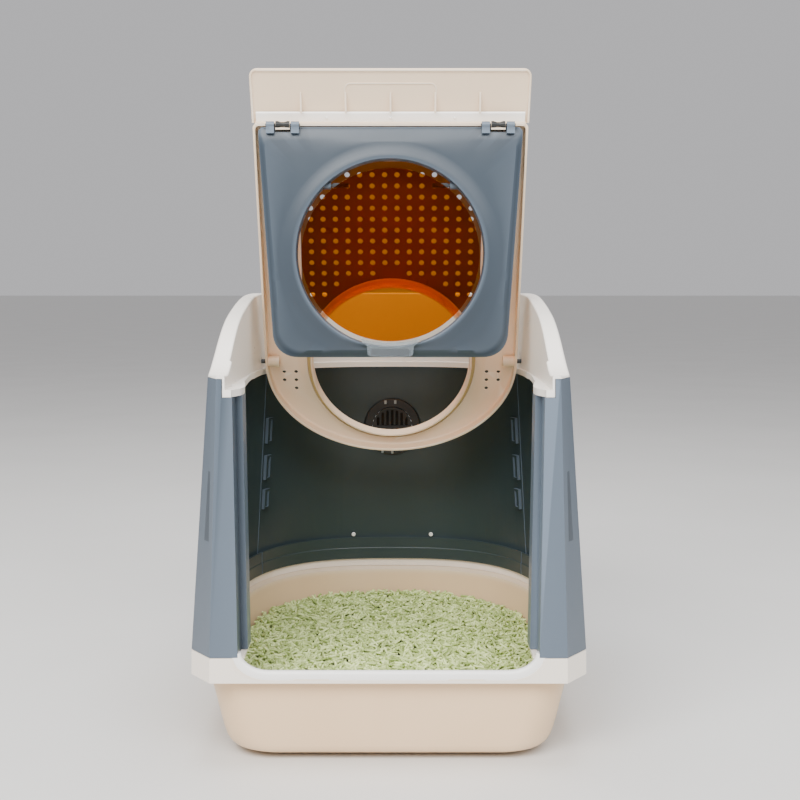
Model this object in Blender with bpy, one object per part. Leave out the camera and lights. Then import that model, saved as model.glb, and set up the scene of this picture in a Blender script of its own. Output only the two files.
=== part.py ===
"""Cat litter box with hood, lid tilted open. Metres, +Z up, front towards -Y, origin under the middle."""

import math

import bmesh
import bpy
from mathutils import Matrix, Vector

# Clearances
GAP = 0.0004  # between pieces that rest on each other
FIT = 0.0005  # round a pin in its hole
SLACK = 0.0008  # round a drop-in edge

# Hood and rim
FRONT = -0.250  # the front plane
RIM_HALF_WIDTH = 0.2157
RIM_REAR = 0.250
RIM_TOP = 0.117
RIM_BOTTOM = 0.090
RIM_WALL = 0.0032
FLANGE_WIDTH = 0.0082
SILL_TOP = 0.1025
SILL_HALF_WIDTH = 0.1237
ENTRY_HALF_WIDTH = 0.158
WALL_TOP = 0.4145
WALL_TOP_HALF_WIDTH = 0.198
WALL_TOP_REAR = 0.238
WALL = 0.0032
CORNER_Y = 0.031  # depth of the chamfered front corner
CORNER_X = 0.0247  # its width at the rim
CORNER_X_TOP = 0.014  # its width at the wall's top
REAR_POWER = 2.6  # fullness of the rounded back
GRID_STEP = 10.0  # degrees between the bends of the rounded back
LID_STEPS = 9  # per quarter of the lid's round end

# Front pillars
REBATE = 0.030  # how far the jamb strip stands behind the front plane
REBATE_HALF_WIDTH = 0.161
REBATE_HALF_WIDTH_TOP = 0.1675
JAMB_HALF_WIDTH = 0.154
JAMB_HALF_WIDTH_TOP = 0.1605
JAMB_DEPTH = 0.026
SPLIT_ANGLE = 30.0  # where a side panel meets the back panel
SPLIT_GAP = 0.25  # degrees each side

# Inner band of the walls
BAND_BOTTOM = 0.1085
BAND_TOP = 0.140
BAND_WIDTH = 0.0122

# Tray
TRAY_TOP = 0.097
TRAY_WALL = 0.003
FOOT_HEIGHT = 0.003
LITTER_TOP = 0.062
LITTER_CROWN = 0.004  # how much the litter rises away from the walls

# Collar
LEDGE_TOP = 0.4026
LEDGE_THICKNESS = 0.0075
COLLAR_INSIDE = 0.1775
COLLAR_THICKNESS = 0.0155
COLLAR_STEP = 0.0023  # how much further in the collar stands over the pillars
# y and height along the parapet's top
PARAPET = ((-0.22, 0.419), (-0.17, 0.447), (-0.10, 0.476), (0.0, 0.492), (0.08, 0.504))
PARAPET_LEAN = 0.003  # how far its tallest part leans in
# y and half width along the ledge's inner edge
LEDGE_EDGE = (
    (-0.2485, 0.1680),
    (-0.2195, 0.1680),
    (-0.2190, 0.1605),
    (-0.1945, 0.1605),
    (-0.1935, 0.1610),
    (-0.13, 0.170),
    (-0.05, 0.1755),
)

# Lid, in its closed place
PIVOT_Y = 0.070
PIVOT_Z = 0.413
OPEN_ANGLE = 72.0
LID_TOP = 0.422
LID_SHEET = 0.003
LID_HALF_WIDTH = 0.1725
LID_REAR_HALF_WIDTH = 0.168
LID_REAR = 0.128  # behind the pivot
EXIT_RADIUS = 0.105
EAVE_LENGTH = 0.070
EAVE_DROOP = 10.0
EAVE_HALF_WIDTH = 0.175
EAVE_RIBS = (-0.112, -0.056, 0.0, 0.056, 0.112)
RIB_HALF = 0.00125
RIB_REACH = 0.030
SKIRT_HALF_WIDTH = 0.170
SKIRT_BOTTOM = 0.4015
PIN_RADIUS = 0.003
BOSS_RADIUS = 0.0075
DRAIN_RADIUS = 0.0028
DRAINS = ((0.145, 0.018), (0.129, 0.018), (0.145, 0.030), (0.129, 0.030), (0.129, 0.042))
GRILLE_RADIUS = 0.1145  # the window's arc round the exit hole
GRILLE_CORNER = 0.012
GRILLE_HALF_WIDTH = 0.118
GRILLE_NEAR = 0.046  # from the pivot
GRILLE_FAR = 0.272
HOLE_PITCH_X = 0.016
HOLE_PITCH_Y = 0.0147
HOLE_RADIUS = 0.0033
HOLE_COLUMNS = 14
HOLE_ROWS = 12

# Front panel, measured from its hinge axis
HINGE_Y = -0.253
HINGE_Z = 0.395
HINGE_X = 0.1340
PANEL_TOP_HALF_WIDTH = 0.1655
PANEL_BOTTOM_HALF_WIDTH = 0.147
PANEL_HEIGHT = 0.2895
PANEL_DEPTH = 0.0215
PANEL_WALL = 0.003
PANEL_PIN_RADIUS = 0.0015
CLIP_HALF = 0.009
KNUCKLE_END = 0.0205
DOOR_RADIUS = 0.1165
DOOR_DROP = 0.1595  # doorway centre under the hinge axis
FLAP_HALF_WIDTH = 0.1110
FLAP_HALF_HEIGHT = 0.108
FLAP_SHIFT = 0.002  # how far the flap's middle hangs under the doorway's
FLAP_AXIS = 0.0845  # above the doorway centre
FLAP_Y = 0.004
FLAP_PIN_RADIUS = 0.002
LUG_RADIUS = 0.005
# x and height under the flap's bottom, down the right half of the latch
LATCH_OUTLINE = (
    (0.0, 0.0),
    (0.018, 0.0015),
    (0.034, 0.0045),
    (0.036, 0.0005),
    (0.028, -0.0060),
    (0.028, -0.0145),
    (0.022, -0.0170),
    (0.0, -0.0175),
)

# Wall pegs
PEG_X = 0.0575
PEG_Z = 0.1445
PEG_RADIUS = 0.0032

# Vent
VENT_Z = 0.305
VENT_RADIUS = 0.034
VENT_FLANGE = 0.042
VENT_BORE = 0.0295
VENT_SLOTS = (-0.018, -0.009, 0.0, 0.009, 0.018)

# Snap housings on the back wall: their heights
HOUSINGS = ((0.2920, 0.3280), (0.2405, 0.2750), (0.1990, 0.2270))
HOUSING_DEPTH = 0.0085


def clear_scene():
    for obj in list(bpy.data.objects):
        bpy.data.objects.remove(obj, do_unlink=True)


def make_material(name, colour, roughness, alpha=1.0):
    material = bpy.data.materials.new(name)
    material.use_nodes = True
    shader = material.node_tree.nodes["Principled BSDF"]
    shader.inputs["Base Color"].default_value = (*colour, 1.0)
    shader.inputs["Roughness"].default_value = roughness
    shader.inputs["Alpha"].default_value = alpha
    return material


def mesh_object(name, points, faces, material=None):
    """An object from points and faces, with its normals facing out."""
    mesh = bpy.data.meshes.new(name)
    mesh.from_pydata([tuple(point) for point in points], [], faces)
    shape = bmesh.new()
    shape.from_mesh(mesh)
    bmesh.ops.recalc_face_normals(shape, faces=shape.faces)
    if shape.calc_volume(signed=True) < 0:
        bmesh.ops.reverse_faces(shape, faces=shape.faces)
    shape.to_mesh(mesh)
    shape.free()
    mesh.shade_smooth()
    mesh.set_sharp_from_angle(angle=math.radians(32))
    if material:
        mesh.materials.append(material)
    obj = bpy.data.objects.new(name, mesh)
    bpy.context.scene.collection.objects.link(obj)
    return obj


def loft(name, loops, material=None, closed=False):
    """A body through loops of equal length, capped at both ends or, if closed, joined end to start."""
    count = len(loops[0])
    points = [point for loop in loops for point in loop]
    faces = []
    for k in range(len(loops) if closed else len(loops) - 1):
        a, b = k * count, (k + 1) % len(loops) * count
        for i in range(count):
            j = (i + 1) % count
            faces.append((a + i, a + j, b + j, b + i))
    if not closed:
        faces.append(tuple(range(count)))
        faces.append(tuple(range(len(points) - count, len(points))))
    return mesh_object(name, points, faces, material)


def prism(name, outline, low, high, axis="z", material=None):
    """An outline drawn across the axis, extruded from low to high along it."""
    place = {
        "x": lambda a, b, h: (h, a, b),
        "y": lambda a, b, h: (a, h, b),
        "z": lambda a, b, h: (a, b, h),
    }[axis]
    return loft(name, [[place(a, b, h) for a, b in outline] for h in (low, high)], material)


def box(name, low, high, material=None):
    outline = [(low[0], low[1]), (high[0], low[1]), (high[0], high[1]), (low[0], high[1])]
    return prism(name, outline, low[2], high[2], "z", material)


def ring_points(radius_x, radius_y, sides, centre=(0.0, 0.0)):
    turns = [2 * math.pi * (i + 0.5) / sides for i in range(sides)]
    return [(centre[0] + radius_x * math.cos(t), centre[1] + radius_y * math.sin(t)) for t in turns]


def cylinder(name, axis, centre, radius, low, high, sides=12, material=None):
    return prism(name, ring_points(radius, radius, sides, centre), low, high, axis, material)


def tube(name, axis, centre, inner, outer, low, high, sides=32, material=None):
    """A hollow cylinder about the axis."""
    place = {"y": lambda p, h: (p[0], h, p[1]), "z": lambda p, h: (p[0], p[1], h)}[axis]
    loops = [
        [place(p, h) for p in ring_points(r, r, sides, centre)]
        for r, h in ((inner, low), (outer, low), (outer, high), (inner, high))
    ]
    return loft(name, loops, material, closed=True)


def boolean(obj, other, operation="DIFFERENCE"):
    """Cuts or joins another body, which stays behind as a hidden helper."""
    other.hide_render = True
    other.display_type = "WIRE"
    modifier = obj.modifiers.new(f"{operation.lower()} {other.name}", "BOOLEAN")
    modifier.operation = operation
    modifier.object = other
    modifier.solver = "EXACT"


def join(obj, other):
    boolean(obj, other, "UNION")


def cut(obj, other):
    boolean(obj, other, "DIFFERENCE")


def ride(parent, pieces):
    """Parents pieces to an empty whose own axes they are drawn in."""
    for piece in pieces:
        piece.parent = parent


def empty(name, location, rotation=0.0):
    obj = bpy.data.objects.new(name, None)
    obj.location = location
    obj.rotation_euler = (math.radians(rotation), 0.0, 0.0)
    bpy.context.scene.collection.objects.link(obj)
    return obj


def between(low, high, share):
    return low + (high - low) * share


def height_share(z):
    return min(max((z - RIM_TOP) / (WALL_TOP - RIM_TOP), 0.0), 1.0)


def grid_angles(first, last):
    """The ends and the multiples of the grid step between them, so that every piece bends at the same places."""
    inner = [k * GRID_STEP for k in range(int(180 / GRID_STEP) + 1)]
    return [first] + [angle for angle in inner if first + 1 < angle < last - 1] + [last]


def rear_arc(half_width, rear, angles):
    """Points of the rounded back, by angle in degrees: 0 at the right side, 90 at the back, 180 at the left."""
    points = []
    for angle in angles:
        t = math.radians(angle)
        c, s = math.cos(t), math.sin(t)
        x = math.copysign(abs(c) ** (2 / REAR_POWER), c) * half_width
        points.append((x, max(s, 0.0) ** (2 / REAR_POWER) * rear))
    return points


def offset_path(path, distance, closed=False):
    """The path moved to its left by the distance, with mitred corners."""
    moved = []
    count = len(path)
    for i, (x, y) in enumerate(path):
        before = path[i - 1] if i or closed else None
        after = path[(i + 1) % count] if i < count - 1 or closed else None
        normals = []
        for start, end in ((before, (x, y)), ((x, y), after)):
            if start is not None and end is not None:
                step = Vector((end[0] - start[0], end[1] - start[1])).normalized()
                normals.append(Vector((-step.y, step.x)))
        middle = sum(normals, Vector((0.0, 0.0))).normalized()
        reach = distance / max(middle.dot(normals[0]), 0.2)
        moved.append((x + middle.x * reach, y + middle.y * reach))
    return moved


def hood_size(z):
    share = height_share(z)
    return (
        between(RIM_HALF_WIDTH, WALL_TOP_HALF_WIDTH, share),
        between(RIM_REAR, WALL_TOP_REAR, share),
        between(CORNER_X, CORNER_X_TOP, share),
    )


def hood_loop(z):
    """The hood's whole outline at a height, from the right front corner round the back."""
    half_width, rear, corner = hood_size(z)
    front = [(half_width - corner, FRONT), (half_width, FRONT + CORNER_Y)]
    arc = rear_arc(half_width, rear, grid_angles(0.0, 180.0))
    return front + arc + [(-x, y) for x, y in reversed(front)]


def rounded_loop(half_width, front, rear, radius):
    """A loop that matches hood_loop in its rear part and has round front corners."""
    right = []
    for k in range(5):
        t = math.radians(-90 + 22.5 * k)
        right.append((half_width - radius + radius * math.cos(t), front + radius + radius * math.sin(t)))
    arc = rear_arc(half_width, rear, grid_angles(0.0, 180.0))
    return right + arc + [(-x, y) for x, y in reversed(right)]


def at_height(loop, z):
    return [(x, y, z) for x, y in loop]


def trimmed(path, inset, closed, spare):
    """The path moved in. Its spare end points only set the direction there, and are dropped."""
    moved = offset_path(path, inset, closed)
    return moved[spare[0] : len(moved) - spare[1]]


def ribbon(path, thickness, spare):
    """A closed outline as thick as the wall, along a path on its outer side."""
    return trimmed(path, 0.0, False, spare) + trimmed(path, thickness, False, spare)[::-1]


def swept(name, path_at, section, material=None, closed=False, spare=(0, 0)):
    """A body whose cross-section, (inset, height) points, follows the path of each height."""
    rails = [at_height(trimmed(path_at(z), inset, closed, spare), z) for inset, z in section]
    loops = [list(points) for points in zip(*rails)]
    return loft(name, loops, material, closed)


def mirrored(points):
    return [(-p[0], *p[1:]) for p in points]


def make_tray(material, litter_material):
    rear = RIM_REAR - 0.028
    outer = [
        (FOOT_HEIGHT, 0.152, FRONT + 0.040, rear - 0.030, 0.044),
        (0.007, 0.169, FRONT + 0.0245, rear - 0.016, 0.047),
        (0.018, 0.181, FRONT + 0.0160, rear - 0.008, 0.048),
        (LITTER_TOP, 0.193, FRONT + 0.0135, rear - 0.004, 0.047),
        (TRAY_TOP - TRAY_WALL, 0.201, FRONT + 0.0125, rear, 0.046),
    ]
    flange = (RIM_HALF_WIDTH - RIM_WALL - SLACK, FRONT + RIM_WALL + SLACK, RIM_REAR - RIM_WALL - SLACK, 0.053)
    inner = [
        (z + (TRAY_WALL if z < 0.010 else 0.0), a - TRAY_WALL, front + TRAY_WALL, b - TRAY_WALL, r - TRAY_WALL)
        for z, a, front, b, r in outer[:4]
    ]
    inner.append((TRAY_TOP, 0.198, FRONT + 0.0155, rear - TRAY_WALL, 0.043))
    sizes = outer + [(TRAY_TOP - TRAY_WALL + GAP, *flange), (TRAY_TOP, *flange)] + inner[::-1]
    loops = [at_height(rounded_loop(a, front, b, r), z) for z, a, front, b, r in sizes]
    loft("base_tray", loops, material)

    bed = []
    for z, a, front, b, r in inner[:4]:
        top = min(z + GAP, LITTER_TOP)
        bed.append(at_height(rounded_loop(a - SLACK, front + SLACK, b - SLACK, r - SLACK), top))
    crown_loop = rounded_loop(inner[3][1] - 0.03, inner[3][2] + 0.03, inner[3][3] - 0.03, 0.03)
    bed.append(at_height(crown_loop, LITTER_TOP + LITTER_CROWN))
    loft("litter_bed", bed, litter_material)


def make_feet(material):
    for end, low, high in (("front", FRONT + 0.058, FRONT + 0.078), ("rear", 0.100, 0.120)):
        for side, sign in (("right", 1), ("left", -1)):
            xs = sorted((sign * 0.0235, sign * 0.115))
            box(
                f"tray_foot_{end}_{side}",
                (xs[0], low, 0.0),
                (xs[1], high, FOOT_HEIGHT - GAP),
                material,
            )


def make_rim(material):
    section = [
        (0.0, RIM_BOTTOM),
        (0.0, RIM_TOP - 0.001),
        (0.001, RIM_TOP),
        (FLANGE_WIDTH, RIM_TOP),
        (FLANGE_WIDTH, TRAY_TOP + GAP),
        (FLANGE_WIDTH - RIM_WALL, TRAY_TOP + GAP),
        (FLANGE_WIDTH - RIM_WALL, RIM_TOP - RIM_WALL),
        (RIM_WALL, RIM_TOP - RIM_WALL),
        (RIM_WALL, RIM_BOTTOM),
    ]
    rim = swept("tray_rim", hood_loop, section, material, closed=True)
    half_width, _, corner = hood_size(RIM_TOP)
    inset = 0.0015
    for side in (1, -1):
        shelf = [
            (side * (JAMB_HALF_WIDTH - 0.006), FRONT + inset),
            (side * (half_width - corner - inset), FRONT + inset),
            (side * (half_width - inset), FRONT + CORNER_Y),
            (side * (half_width - inset), FRONT + 0.062),
            (side * (JAMB_HALF_WIDTH - 0.006), FRONT + 0.062),
        ]
        join(rim, prism(f"rim shelf {side}", shelf, RIM_TOP - RIM_WALL, RIM_TOP - 0.0001))
    entry = [
        (-ENTRY_HALF_WIDTH, RIM_TOP + 0.01),
        (-ENTRY_HALF_WIDTH + 0.004, RIM_TOP - 0.004),
        (-SILL_HALF_WIDTH - 0.012, SILL_TOP + 0.0025),
        (-SILL_HALF_WIDTH, SILL_TOP),
    ]
    entry += mirrored(entry)[::-1]
    cut(rim, prism("entry cut", entry, FRONT - 0.01, FRONT + 0.020, "y"))
    back_edge = FRONT + FLANGE_WIDTH
    sill = [
        (FRONT + 0.001, SILL_TOP - 0.0036),
        (FRONT + 0.001, SILL_TOP + 0.0004),
        (back_edge, SILL_TOP + 0.0004),
        (back_edge, SILL_TOP - 0.0036),
    ]
    join(rim, prism("sill bar", sill, -SILL_HALF_WIDTH - 0.014, SILL_HALF_WIDTH + 0.014, "x"))
    return rim


def side_arc(z):
    """The rounded stretch of a right side panel, with a spare point past its end."""
    half_width, rear, _ = hood_size(z)
    angles = grid_angles(0.0, SPLIT_ANGLE - SPLIT_GAP) + [SPLIT_ANGLE + GRID_STEP]
    return rear_arc(half_width, rear, angles)


def pillar_path(z):
    """The outer face of a right side panel's wall, from inside the pillar round its front to the split."""
    share = height_share(z)
    half_width, rear, corner = hood_size(z)
    jamb = between(JAMB_HALF_WIDTH, JAMB_HALF_WIDTH_TOP, share)
    rebate = between(REBATE_HALF_WIDTH, REBATE_HALF_WIDTH_TOP, share)
    front = [
        (jamb, FRONT + REBATE + JAMB_DEPTH),
        (jamb, FRONT + REBATE),
        (rebate, FRONT + REBATE),
        (rebate, FRONT),
        (half_width - corner, FRONT),
        (half_width, FRONT + CORNER_Y),
    ]
    return front + side_arc(z)


def band_section():
    outer = FLANGE_WIDTH + FIT
    return [
        (BAND_WIDTH, BAND_BOTTOM),
        (outer, BAND_BOTTOM),
        (outer, RIM_TOP + 2 * GAP),
        (WALL - 0.0008, RIM_TOP + 2 * GAP),
        (WALL - 0.0008, BAND_TOP - 0.003),
        (BAND_WIDTH, BAND_TOP),
    ]


def make_side_panels(material):
    foot = RIM_TOP + GAP
    for side, sign in (("right", 1), ("left", -1)):
        loops = []
        for z in (foot, WALL_TOP):
            outline = [(sign * x, y) for x, y in ribbon(pillar_path(z), WALL, (0, 1))]
            loops.append(at_height(outline, z))
        panel = loft(f"side_panel_{side}", loops, material)

        def band_path(z, sign=sign):
            path = [(hood_size(z)[0], FRONT + REBATE + JAMB_DEPTH + 0.012)] + side_arc(z)
            return [(sign * x, y) for x, y in path][::sign]

        spare = (0, 1) if sign > 0 else (1, 0)
        join(panel, swept(f"band {side}", band_path, band_section(), spare=spare))
        low_x, high_x = sorted((sign * 0.140, sign * (COLLAR_INSIDE + 0.0006)))
        notch_z = LEDGE_TOP - LEDGE_THICKNESS - GAP
        cut(panel, box(f"ledge notch {side}", (low_x, FRONT - 0.01, notch_z), (high_x, 0.0, WALL_TOP + 0.02)))


def make_back_panel(material):
    first, last = SPLIT_ANGLE + SPLIT_GAP, 180 - SPLIT_ANGLE - SPLIT_GAP
    spare = [SPLIT_ANGLE - GRID_STEP], [180 - SPLIT_ANGLE + GRID_STEP]

    def path_at(z):
        half_width, rear, _ = hood_size(z)
        return rear_arc(half_width, rear, spare[0] + grid_angles(first, last) + spare[1])

    loops = [at_height(ribbon(path_at(z), WALL, (1, 1)), z) for z in (RIM_TOP + GAP, WALL_TOP)]
    panel = loft("back_panel", loops, material)
    join(panel, swept("band back", path_at, band_section(), spare=(1, 1)))
    for sign in (1, -1):
        for low, high in HOUSINGS:
            def housing_path(z, sign=sign):
                half_width, rear, _ = hood_size(z)
                path = rear_arc(half_width, rear, (SPLIT_ANGLE + 1.2, SPLIT_ANGLE + 5.0))
                return [(sign * x, y) for x, y in path][::sign]

            section = [(WALL - 0.0006, low), (HOUSING_DEPTH, low), (HOUSING_DEPTH, high), (WALL - 0.0006, high)]
            join(panel, swept(f"snap housing {sign} {low}", housing_path, section))
    cut(panel, cylinder("vent hole", "y", (0.0, VENT_Z), VENT_RADIUS, 0.2, 0.3, 24))
    return panel


def rear_y_at(x, z):
    """How far back the hood's outer face is, at a place across the back."""
    half_width, rear, _ = hood_size(z)
    return rear * (1 - (x / half_width) ** REAR_POWER) ** (1 / REAR_POWER)


def make_wall_pegs(material):
    for side, sign in (("right", 1), ("left", -1)):
        face = rear_y_at(PEG_X, PEG_Z) - WALL - PEG_RADIUS * 0.45
        centre = (sign * PEG_X, PEG_Z)
        cylinder(f"wall_peg_{side}", "y", centre, PEG_RADIUS, face - 0.0065, face, 10, material)


def parapet_height(y):
    if y <= PARAPET[0][0]:
        return PARAPET[0][1]
    for (y0, z0), (y1, z1) in zip(PARAPET, PARAPET[1:]):
        if y <= y1:
            return between(z0, z1, (y - y0) / (y1 - y0))
    return PARAPET[-1][1]


def make_collar(material):
    foot = WALL_TOP + GAP
    half_width, rear, corner = hood_size(WALL_TOP)
    inside = LEDGE_TOP - LEDGE_THICKNESS
    inner_gap = WALL + 0.0015
    right = []
    for y, edge in LEDGE_EDGE:
        outer = half_width - corner * max(0.0, 1 - (y - FRONT) / CORNER_Y)
        right.append(((outer, y), True, edge))
    angles = grid_angles(0.0, 90.0)
    outer_arc = rear_arc(half_width, rear, angles)
    inner_arc = rear_arc(COLLAR_INSIDE, rear - COLLAR_THICKNESS, angles)
    right += [(outer, False, inner) for outer, inner in zip(outer_arc, inner_arc)]

    def section(station, sign):
        (x, y), straight, edge = station
        top = parapet_height(y)
        if straight:
            on_pillar = y < FRONT + REBATE + JAMB_DEPTH
            inner = (COLLAR_INSIDE - (COLLAR_STEP if on_pillar else 0.0), y)
            ledge_edge = (edge, y)
            buried = (COLLAR_INSIDE + 0.0002 if on_pillar else half_width - inner_gap, y)
        else:
            inner = edge
            ledge_edge = (edge[0] * 0.985, edge[1] * 0.985)
            toward = Vector((edge[0] - x, edge[1] - y)).normalized()
            buried = (x + toward.x * inner_gap, y + toward.y * inner_gap)
        lean = PARAPET_LEAN * (top - foot) / (PARAPET[-1][1] - foot)
        toward = Vector((inner[0] - x, inner[1] - y)).normalized()
        rim_point = (x + toward.x * lean, y + toward.y * lean)
        points = [
            (x, y, foot),
            (*rim_point, top - 0.0015),
            (rim_point[0] + toward.x * 0.002, rim_point[1] + toward.y * 0.002, top),
            (*inner, top),
            (*inner, LEDGE_TOP),
            (*ledge_edge, LEDGE_TOP),
            (*ledge_edge, inside),
            (*buried, inside),
            (*buried, foot),
        ]
        return [(sign * px, py, pz) for px, py, pz in points]

    loops = [section(station, 1) for station in right]
    loops += [section(station, -1) for station in reversed(right[:-1])]
    collar = loft("top_collar", loops, material)
    for sign in (1, -1):
        low, high = sorted((sign * 0.150, sign * 0.1885))
        hole = cylinder(
            f"pivot hole {sign}", "x", (PIVOT_Y, PIVOT_Z), PIN_RADIUS + FIT, low, high, 12
        )
        cut(collar, hole)
    return collar


def lid_outline(inset):
    """The lid's plan in its closed place, moved in by the inset."""
    front = FRONT - 0.003 + inset
    side = LID_HALF_WIDTH - inset
    right = [(side - 0.006, front), (side, front + 0.006), (LID_REAR_HALF_WIDTH - inset, PIVOT_Y)]
    for k in range(1, 2 * LID_STEPS):
        t = math.pi * k / (2 * LID_STEPS)
        right.append(
            (
                (LID_REAR_HALF_WIDTH - inset) * math.cos(t),
                PIVOT_Y + (LID_REAR - inset) * math.sin(t),
            )
        )
        if k == LID_STEPS:
            break
    return right[:-1] + [(0.0, PIVOT_Y + LID_REAR - inset)] + mirrored(right[:-1])[::-1]


def grille_outline(inset):
    """The window's edge: a straight front with cut corners and an arc that clears the exit hole."""
    half = GRILLE_HALF_WIDTH - inset
    far, near = PIVOT_Y - GRILLE_FAR + inset, PIVOT_Y - GRILLE_NEAR - inset
    radius = GRILLE_RADIUS + inset
    edge = math.asin(GRILLE_NEAR / radius)
    arc = []
    for k in range(9):
        t = between(math.pi + edge, 2 * math.pi - edge, k / 8)
        arc.append((radius * math.cos(t), PIVOT_Y + radius * math.sin(t)))
    right = [(half, near), (half, far + GRILLE_CORNER), (half - GRILLE_CORNER, far)]
    return mirrored(right) + right[::-1] + arc[::-1]


def make_lid(material, lid_axis):
    loops = [
        at_height(lid_outline(0.002), LID_TOP),
        at_height(lid_outline(0.0), LID_TOP - 0.002),
        at_height(lid_outline(0.0), LEDGE_TOP + GAP),
        at_height(lid_outline(LID_SHEET), LEDGE_TOP + GAP),
        at_height(lid_outline(LID_SHEET), LID_TOP - LID_SHEET),
    ]
    lid = loft("lid", loops, material)
    helpers = []
    front = FRONT - 0.003
    skirt = box(
        "front skirt",
        (-SKIRT_HALF_WIDTH, front - 0.0001, SKIRT_BOTTOM),
        (SKIRT_HALF_WIDTH, front + LID_SHEET - 0.0002, LID_TOP - 0.001),
    )
    droop = math.radians(EAVE_DROOP)
    along = Vector((-math.cos(droop), -math.sin(droop)))
    across = Vector((math.sin(droop), -math.cos(droop)))
    root = Vector((front + 0.0012, LID_TOP - 0.0006))
    corners = [root, root + along * EAVE_LENGTH]
    profile = corners + [c + across * (LID_SHEET - 0.0004) for c in reversed(corners)]
    eave = prism("eave", [tuple(c) for c in profile], -EAVE_HALF_WIDTH, EAVE_HALF_WIDTH, "x")
    helpers += [skirt, eave]
    for x in EAVE_RIBS:
        rib = [
            (front + 0.001, LID_TOP - 0.0025),
            (front + 0.001, SKIRT_BOTTOM + 0.004),
            (front - RIB_REACH, LID_TOP - 0.0085),
            (front - RIB_REACH, LID_TOP - 0.0068),
        ]
        helpers.append(prism(f"eave rib {x}", rib, x - RIB_HALF, x + RIB_HALF, "x"))
    for sign in (1, -1):
        low, high = sorted((sign * 0.150, sign * (LID_REAR_HALF_WIDTH - 0.001)))
        boss = cylinder(f"pivot boss {sign}", "x", (PIVOT_Y, PIVOT_Z), BOSS_RADIUS, low, high, 12)
        helpers.append(boss)
    hole_rim = tube(
        "exit rim",
        "z",
        (0.0, PIVOT_Y),
        EXIT_RADIUS,
        EXIT_RADIUS + 0.003,
        LEDGE_TOP + 0.004,
        LID_TOP + 0.002,
        40,
    )
    for helper in helpers:
        join(lid, helper)
    join(lid, hole_rim)
    exit_cut = cylinder("exit cut", "z", (0.0, PIVOT_Y), EXIT_RADIUS + 0.0002, 0.3, 0.5, 40)
    window = prism("window cut", grille_outline(0.0), 0.3, 0.5, "z")
    cutters = [exit_cut, window]
    for sign in (1, -1):
        for x, y in DRAINS:
            place = (sign * x, PIVOT_Y + y)
            drain = cylinder(f"drain {sign} {x} {y}", "z", place, DRAIN_RADIUS, 0.3, 0.5, 8)
            cutters.append(drain)
        low, high = sorted((sign * 0.146, sign * 0.180))
        cutters.append(
            cylinder(f"pin bore {sign}", "x", (PIVOT_Y, PIVOT_Z), PIN_RADIUS + GAP, low, high, 12)
        )
    for cutter in cutters:
        cut(lid, cutter)
    ride(lid_axis, [lid, hole_rim, *helpers, *cutters])


def make_grille(material, lid_axis):
    low, high = LID_TOP - LID_SHEET - 0.0002, LID_TOP - 0.0006
    grille = prism("tread_grille", grille_outline(FIT), low, high, "z", material)
    holes = []
    for row in range(HOLE_ROWS):
        y = PIVOT_Y - 0.254 + row * HOLE_PITCH_Y
        for column in range(HOLE_COLUMNS):
            x = (column - (HOLE_COLUMNS - 1) / 2) * HOLE_PITCH_X
            if math.hypot(x, y - PIVOT_Y) > GRILLE_RADIUS + 0.008:
                holes.append((x, y))
    points, faces = [], []
    for x, y in holes:
        first = len(points)
        rim = ring_points(HOLE_RADIUS, HOLE_RADIUS, 6, (x, y))
        points += at_height(rim, low - 0.002) + at_height(rim, high + 0.002)
        faces.append(tuple(first + i for i in reversed(range(6))))
        faces.append(tuple(first + 6 + i for i in range(6)))
        for i in range(6):
            j = (i + 1) % 6
            faces.append((first + i, first + j, first + 6 + j, first + 6 + i))
    cutter = mesh_object("grille holes", points, faces)
    cut(grille, cutter)
    ride(lid_axis, [grille, cutter])


def make_lid_pins(material, lid_axis):
    pins = []
    for side, sign in (("right", 1), ("left", -1)):
        low, high = sorted((sign * 0.151, sign * 0.185))
        name = f"lid_pin_{side}"
        pins.append(cylinder(name, "x", (PIVOT_Y, PIVOT_Z), PIN_RADIUS, low, high, 12, material))
    ride(lid_axis, pins)


def make_lid_clips(material, lid_axis):
    for side, sign in (("right", 1), ("left", -1)):
        x = sign * HINGE_X
        plate = box(
            f"lid_clip_{side}",
            (x - CLIP_HALF, FRONT + GAP, HINGE_Z - 0.003),
            (x + CLIP_HALF, FRONT + GAP + 0.0025, LEDGE_TOP + 0.012),
            material,
        )
        barrel = cylinder(
            f"clip barrel {side}", "x", (HINGE_Y, HINGE_Z), 0.0046, x - CLIP_HALF, x + CLIP_HALF, 12
        )
        bore = cylinder(
            f"clip bore {side}", "x", (HINGE_Y, HINGE_Z), PANEL_PIN_RADIUS + FIT, x - 0.02, x + 0.02, 8
        )
        join(plate, barrel)
        cut(plate, bore)
        ride(lid_axis, [plate, barrel, bore])


def panel_outline(inset):
    """The panel's front view, from its hinge axis, moved in by the inset."""
    top, bottom = -0.0020 - inset, -PANEL_HEIGHT + inset
    high, low = PANEL_TOP_HALF_WIDTH - inset, PANEL_BOTTOM_HALF_WIDTH - inset
    radius = 0.030
    right = [(high - 0.006, top), (high, top - 0.006)]
    for k in range(5):
        t = math.radians(-90 * k / 4)
        right.append((low - radius + radius * math.cos(t), bottom + radius + radius * math.sin(t)))
    return right + mirrored(right)[::-1]


def at_depth(outline, y):
    return [(x, y, z) for x, z in outline]


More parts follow.
